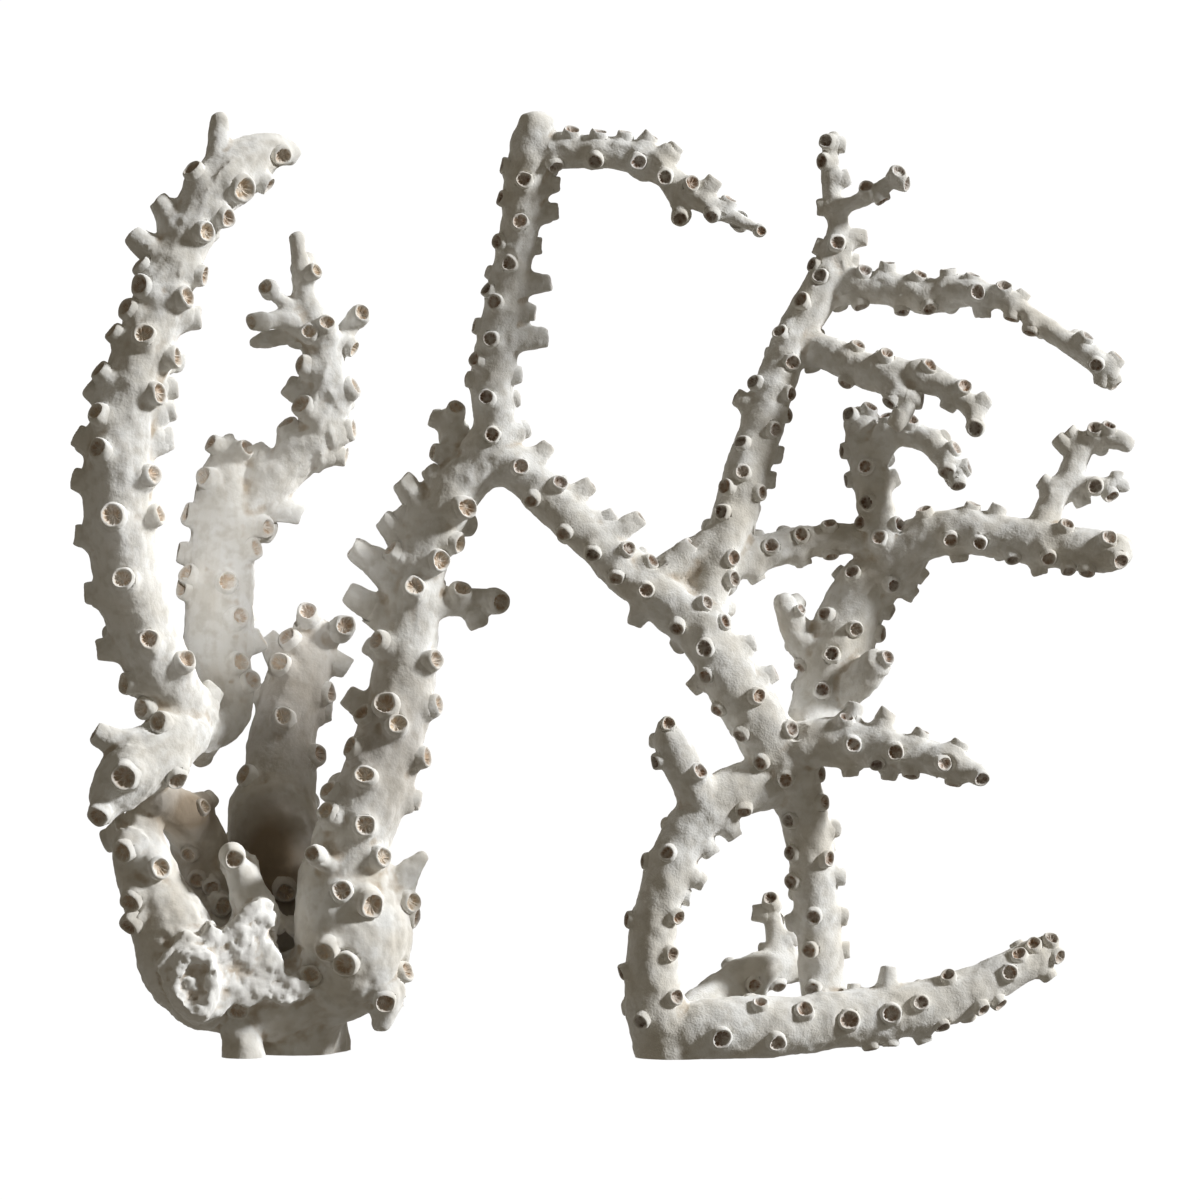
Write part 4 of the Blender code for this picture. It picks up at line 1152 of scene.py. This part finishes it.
def skeleton_material(name, shade, bowl_tones, grain_per_metre, grain_strength, strand_strength=0.0):
    """White skeleton with soft stains, dirt and painted shade in its hollows, brown soil and painted shade in patches,
    fine grains, strands along the limb, and brown bowls.
    """
    finish = Finish(name)
    finish.shader.inputs["Roughness"].default_value = 0.85
    finish.shader.inputs["Diffuse Roughness"].default_value = 1.0
    finish.shader.inputs["Specular IOR Level"].default_value = 0.2
    blotched = finish.ramp(finish.noise(STAIN_PER_METRE, 5), 0.34, 0.6, shade, WHITE)
    mottled = finish.ramp(finish.noise(MOTTLE_PER_METRE, 6), 0.36, 0.54, (0.42, 0.42, 0.42), (0, 0, 0))
    stained = finish.mix(mottled, blotched, MOTTLE)
    # Dirt and painted shade in the hollows, broken up by noise
    dirt_and_shade = finish.product(
        finish.ramp(finish.attribute("hollow"), 0.56, 0.95, (0, 0, 0), (0.75, 0.75, 0.75)),
        finish.ramp(finish.noise(3 * STAIN_PER_METRE, 3), 0.35, 0.65),
    )
    raw = finish.attribute("raw")
    fresh = finish.mix(raw, stained, FRESH)
    skin = finish.mix(dirt_and_shade, fresh, DIRT_AND_SHADE)
    strands = finish.noise(STRAND_PER_METRE, 2, finish.attribute("strand", "Vector"))
    if strand_strength:
        streaked = finish.ramp(strands, 0.36, 0.5, (0.06, 0.06, 0.06), (0, 0, 0))
        skin = finish.mix(streaked, skin, DIRT_AND_SHADE)
    # Brown soil and painted shade over the skin in the listed places
    skin = finish.mix(finish.attribute("shade_and_soil"), skin, SHADE_AND_SOIL_COLOUR)
    bowl = finish.mix(finish.ramp(finish.attribute("tone"), 0.3, 0.7), *bowl_tones)
    speckle = finish.ramp(finish.noise(SPECKLE_PER_METRE, 3), 0.4, 0.62, (0.35, 0.35, 0.35), (1, 1, 1))
    inside = finish.product(finish.attribute("inside"), speckle)
    finish.links.new(finish.mix(inside, skin, bowl), finish.shader.inputs["Base Color"])
    grains = finish.bump(finish.noise(grain_per_metre, 5), GRAIN_RISE, grain_strength)
    if strand_strength:
        grains = finish.bump(strands, STRAND_RISE, strand_strength, grains)
    finish.links.new(grains, finish.shader.inputs["Normal"])
    return finish.material


def finish_piece(piece, name, cups, skeleton):
    """Gives one limb its cups, its materials and its soft shading."""
    close_piece(piece)
    mesh = piece.data
    mesh.materials.clear()
    mesh.materials.append(skeleton)
    mesh.polygons.foreach_set("material_index", [0] * len(mesh.polygons))
    for cup in cups:
        cup.data.materials.clear()
        cup.data.materials.append(skeleton)
    whole = joined([piece, *cups], name + "_skeleton")
    pressed_in(whole)
    only(whole)
    bpy.ops.object.shade_smooth_by_angle(angle=SMOOTH_ANGLE)
    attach(whole, "root")
    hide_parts(name)


def make_coral():
    """The coral, one piece for each limb."""
    cups = all_cups()
    body = grow_body(cups)
    roughen(body)
    mark_hollows(body)
    sink_bowls(body, cups)
    only(body)
    bpy.ops.object.mode_set(mode="EDIT")
    bpy.ops.mesh.select_all(action="SELECT")
    bpy.ops.mesh.bisect(plane_co=(0, 0, 0), plane_no=(0, 0, 1), clear_inner=True, use_fill=True)
    bpy.ops.mesh.quads_convert_to_tris(ngon_method="BEAUTY")
    bpy.ops.object.mode_set(mode="OBJECT")
    pieces = split_body(body)
    smooth = skeleton_material("smooth_skeleton", (0.81, 0.79, 0.745), WIDE_BOWL, 900, 0.4, strand_strength=0.14)
    broken = skeleton_material("broken_skeleton", (0.80, 0.765, 0.70), WIDE_BOWL, 700, 0.3)
    grainy = skeleton_material("grainy_skeleton", (0.80, 0.77, 0.71), NARROW_BOWL, 1300, 0.45)
    wide_cup = model_cup(WIDE_CUP_SIDES)
    narrow_cup = model_cup(NARROW_CUP_SIDES)
    for name, limb in LIMBS.items():
        wide = limb.mouth == WIDE_MOUTH
        made = dress_cups(cups[name], wide_cup if wide else narrow_cup)
        finish_piece(pieces[name], name, made, broken if name == "base" else smooth if wide else grainy)
    bpy.data.objects.remove(wide_cup)
    bpy.data.objects.remove(narrow_cup)


# The studio: a pale floor, one key light from the upper right, soft light all round and a spot on the left
VIEW_DISTANCE = 6.0
FRAME_PIXELS = 1200
SENSOR = 36.0
KEY_WAY = Vector((0.84, -0.21, 0.50))
KEY_STRENGTH = 5.0
KEY_COLOUR = (0.975, 0.99, 1.0)
KEY_SPREAD = math.radians(9)
SKY_STRENGTH = 0.15
SKY_COLOUR = (1.0, 0.89, 0.70, 1)
FILL_TARGET = (236, 570, 34)
FILL_WAY = Vector((0.15, -0.95, 0.25)).normalized()
FILL_DISTANCE = 2.0
FILL_RADIUS = 0.02
FILL_REACH = 54 * MM
FILL_POWER = 80
FLOOR_GLOW = 1.0
FLOOR_SIZE = 60
FAR_CLIP = 100


def set_studio():
    """Floor, lights and camera."""
    bpy.ops.object.select_all(action="DESELECT")
    bpy.ops.mesh.primitive_plane_add(size=FLOOR_SIZE, location=(0, 0, 0))
    floor = bpy.context.object
    floor.name = "floor"
    pale = bpy.data.materials.new("pale_floor")
    pale.use_nodes = True
    sockets = pale.node_tree.nodes["Principled BSDF"].inputs
    sockets["Base Color"].default_value = (0.0, 0.0, 0.0, 1)
    sockets["Roughness"].default_value = 1.0
    sockets["Emission Color"].default_value = (1, 1, 1, 1)
    sockets["Emission Strength"].default_value = FLOOR_GLOW
    floor.visible_diffuse = False
    floor.data.materials.append(pale)
    bpy.ops.object.light_add(type="SUN", location=KEY_WAY)
    key = bpy.context.object
    key.rotation_euler = KEY_WAY.to_track_quat("Z", "Y").to_euler()
    key.data.energy = KEY_STRENGTH
    key.data.angle = KEY_SPREAD
    key.data.color = KEY_COLOUR
    bpy.ops.object.light_add(type="SPOT", location=place(*FILL_TARGET) + FILL_WAY * FILL_DISTANCE)
    fill = bpy.context.object
    fill.rotation_euler = FILL_WAY.to_track_quat("Z", "Y").to_euler()
    fill.data.spot_size = 2 * math.atan(FILL_REACH / FILL_DISTANCE)
    fill.data.spot_blend = 1.0
    fill.data.shadow_soft_size = FILL_RADIUS
    fill.data.energy = FILL_POWER
    world = bpy.data.worlds.new("soft_room")
    bpy.context.scene.world = world
    world.use_nodes = True
    world.node_tree.nodes["Background"].inputs["Color"].default_value = SKY_COLOUR
    world.node_tree.nodes["Background"].inputs["Strength"].default_value = SKY_STRENGTH
    centre = Vector(((FRAME_PIXELS / 2 - BASE_ACROSS) * PIXEL, 0, (FLOOR_DOWN - FRAME_PIXELS / 2) * PIXEL))
    away = Vector((0, -1, SIGHT_SLOPE)).normalized()
    bpy.ops.object.camera_add(location=centre + away * VIEW_DISTANCE)
    camera = bpy.context.object
    camera.rotation_euler = away.to_track_quat("Z", "Y").to_euler()
    camera.data.sensor_width = SENSOR
    camera.data.lens = SENSOR * VIEW_DISTANCE / (FRAME_PIXELS * PIXEL)
    camera.data.clip_end = FAR_CLIP
    bpy.context.scene.camera = camera
    bpy.context.scene.view_settings.view_transform = "Standard"


make_coral()
set_studio()
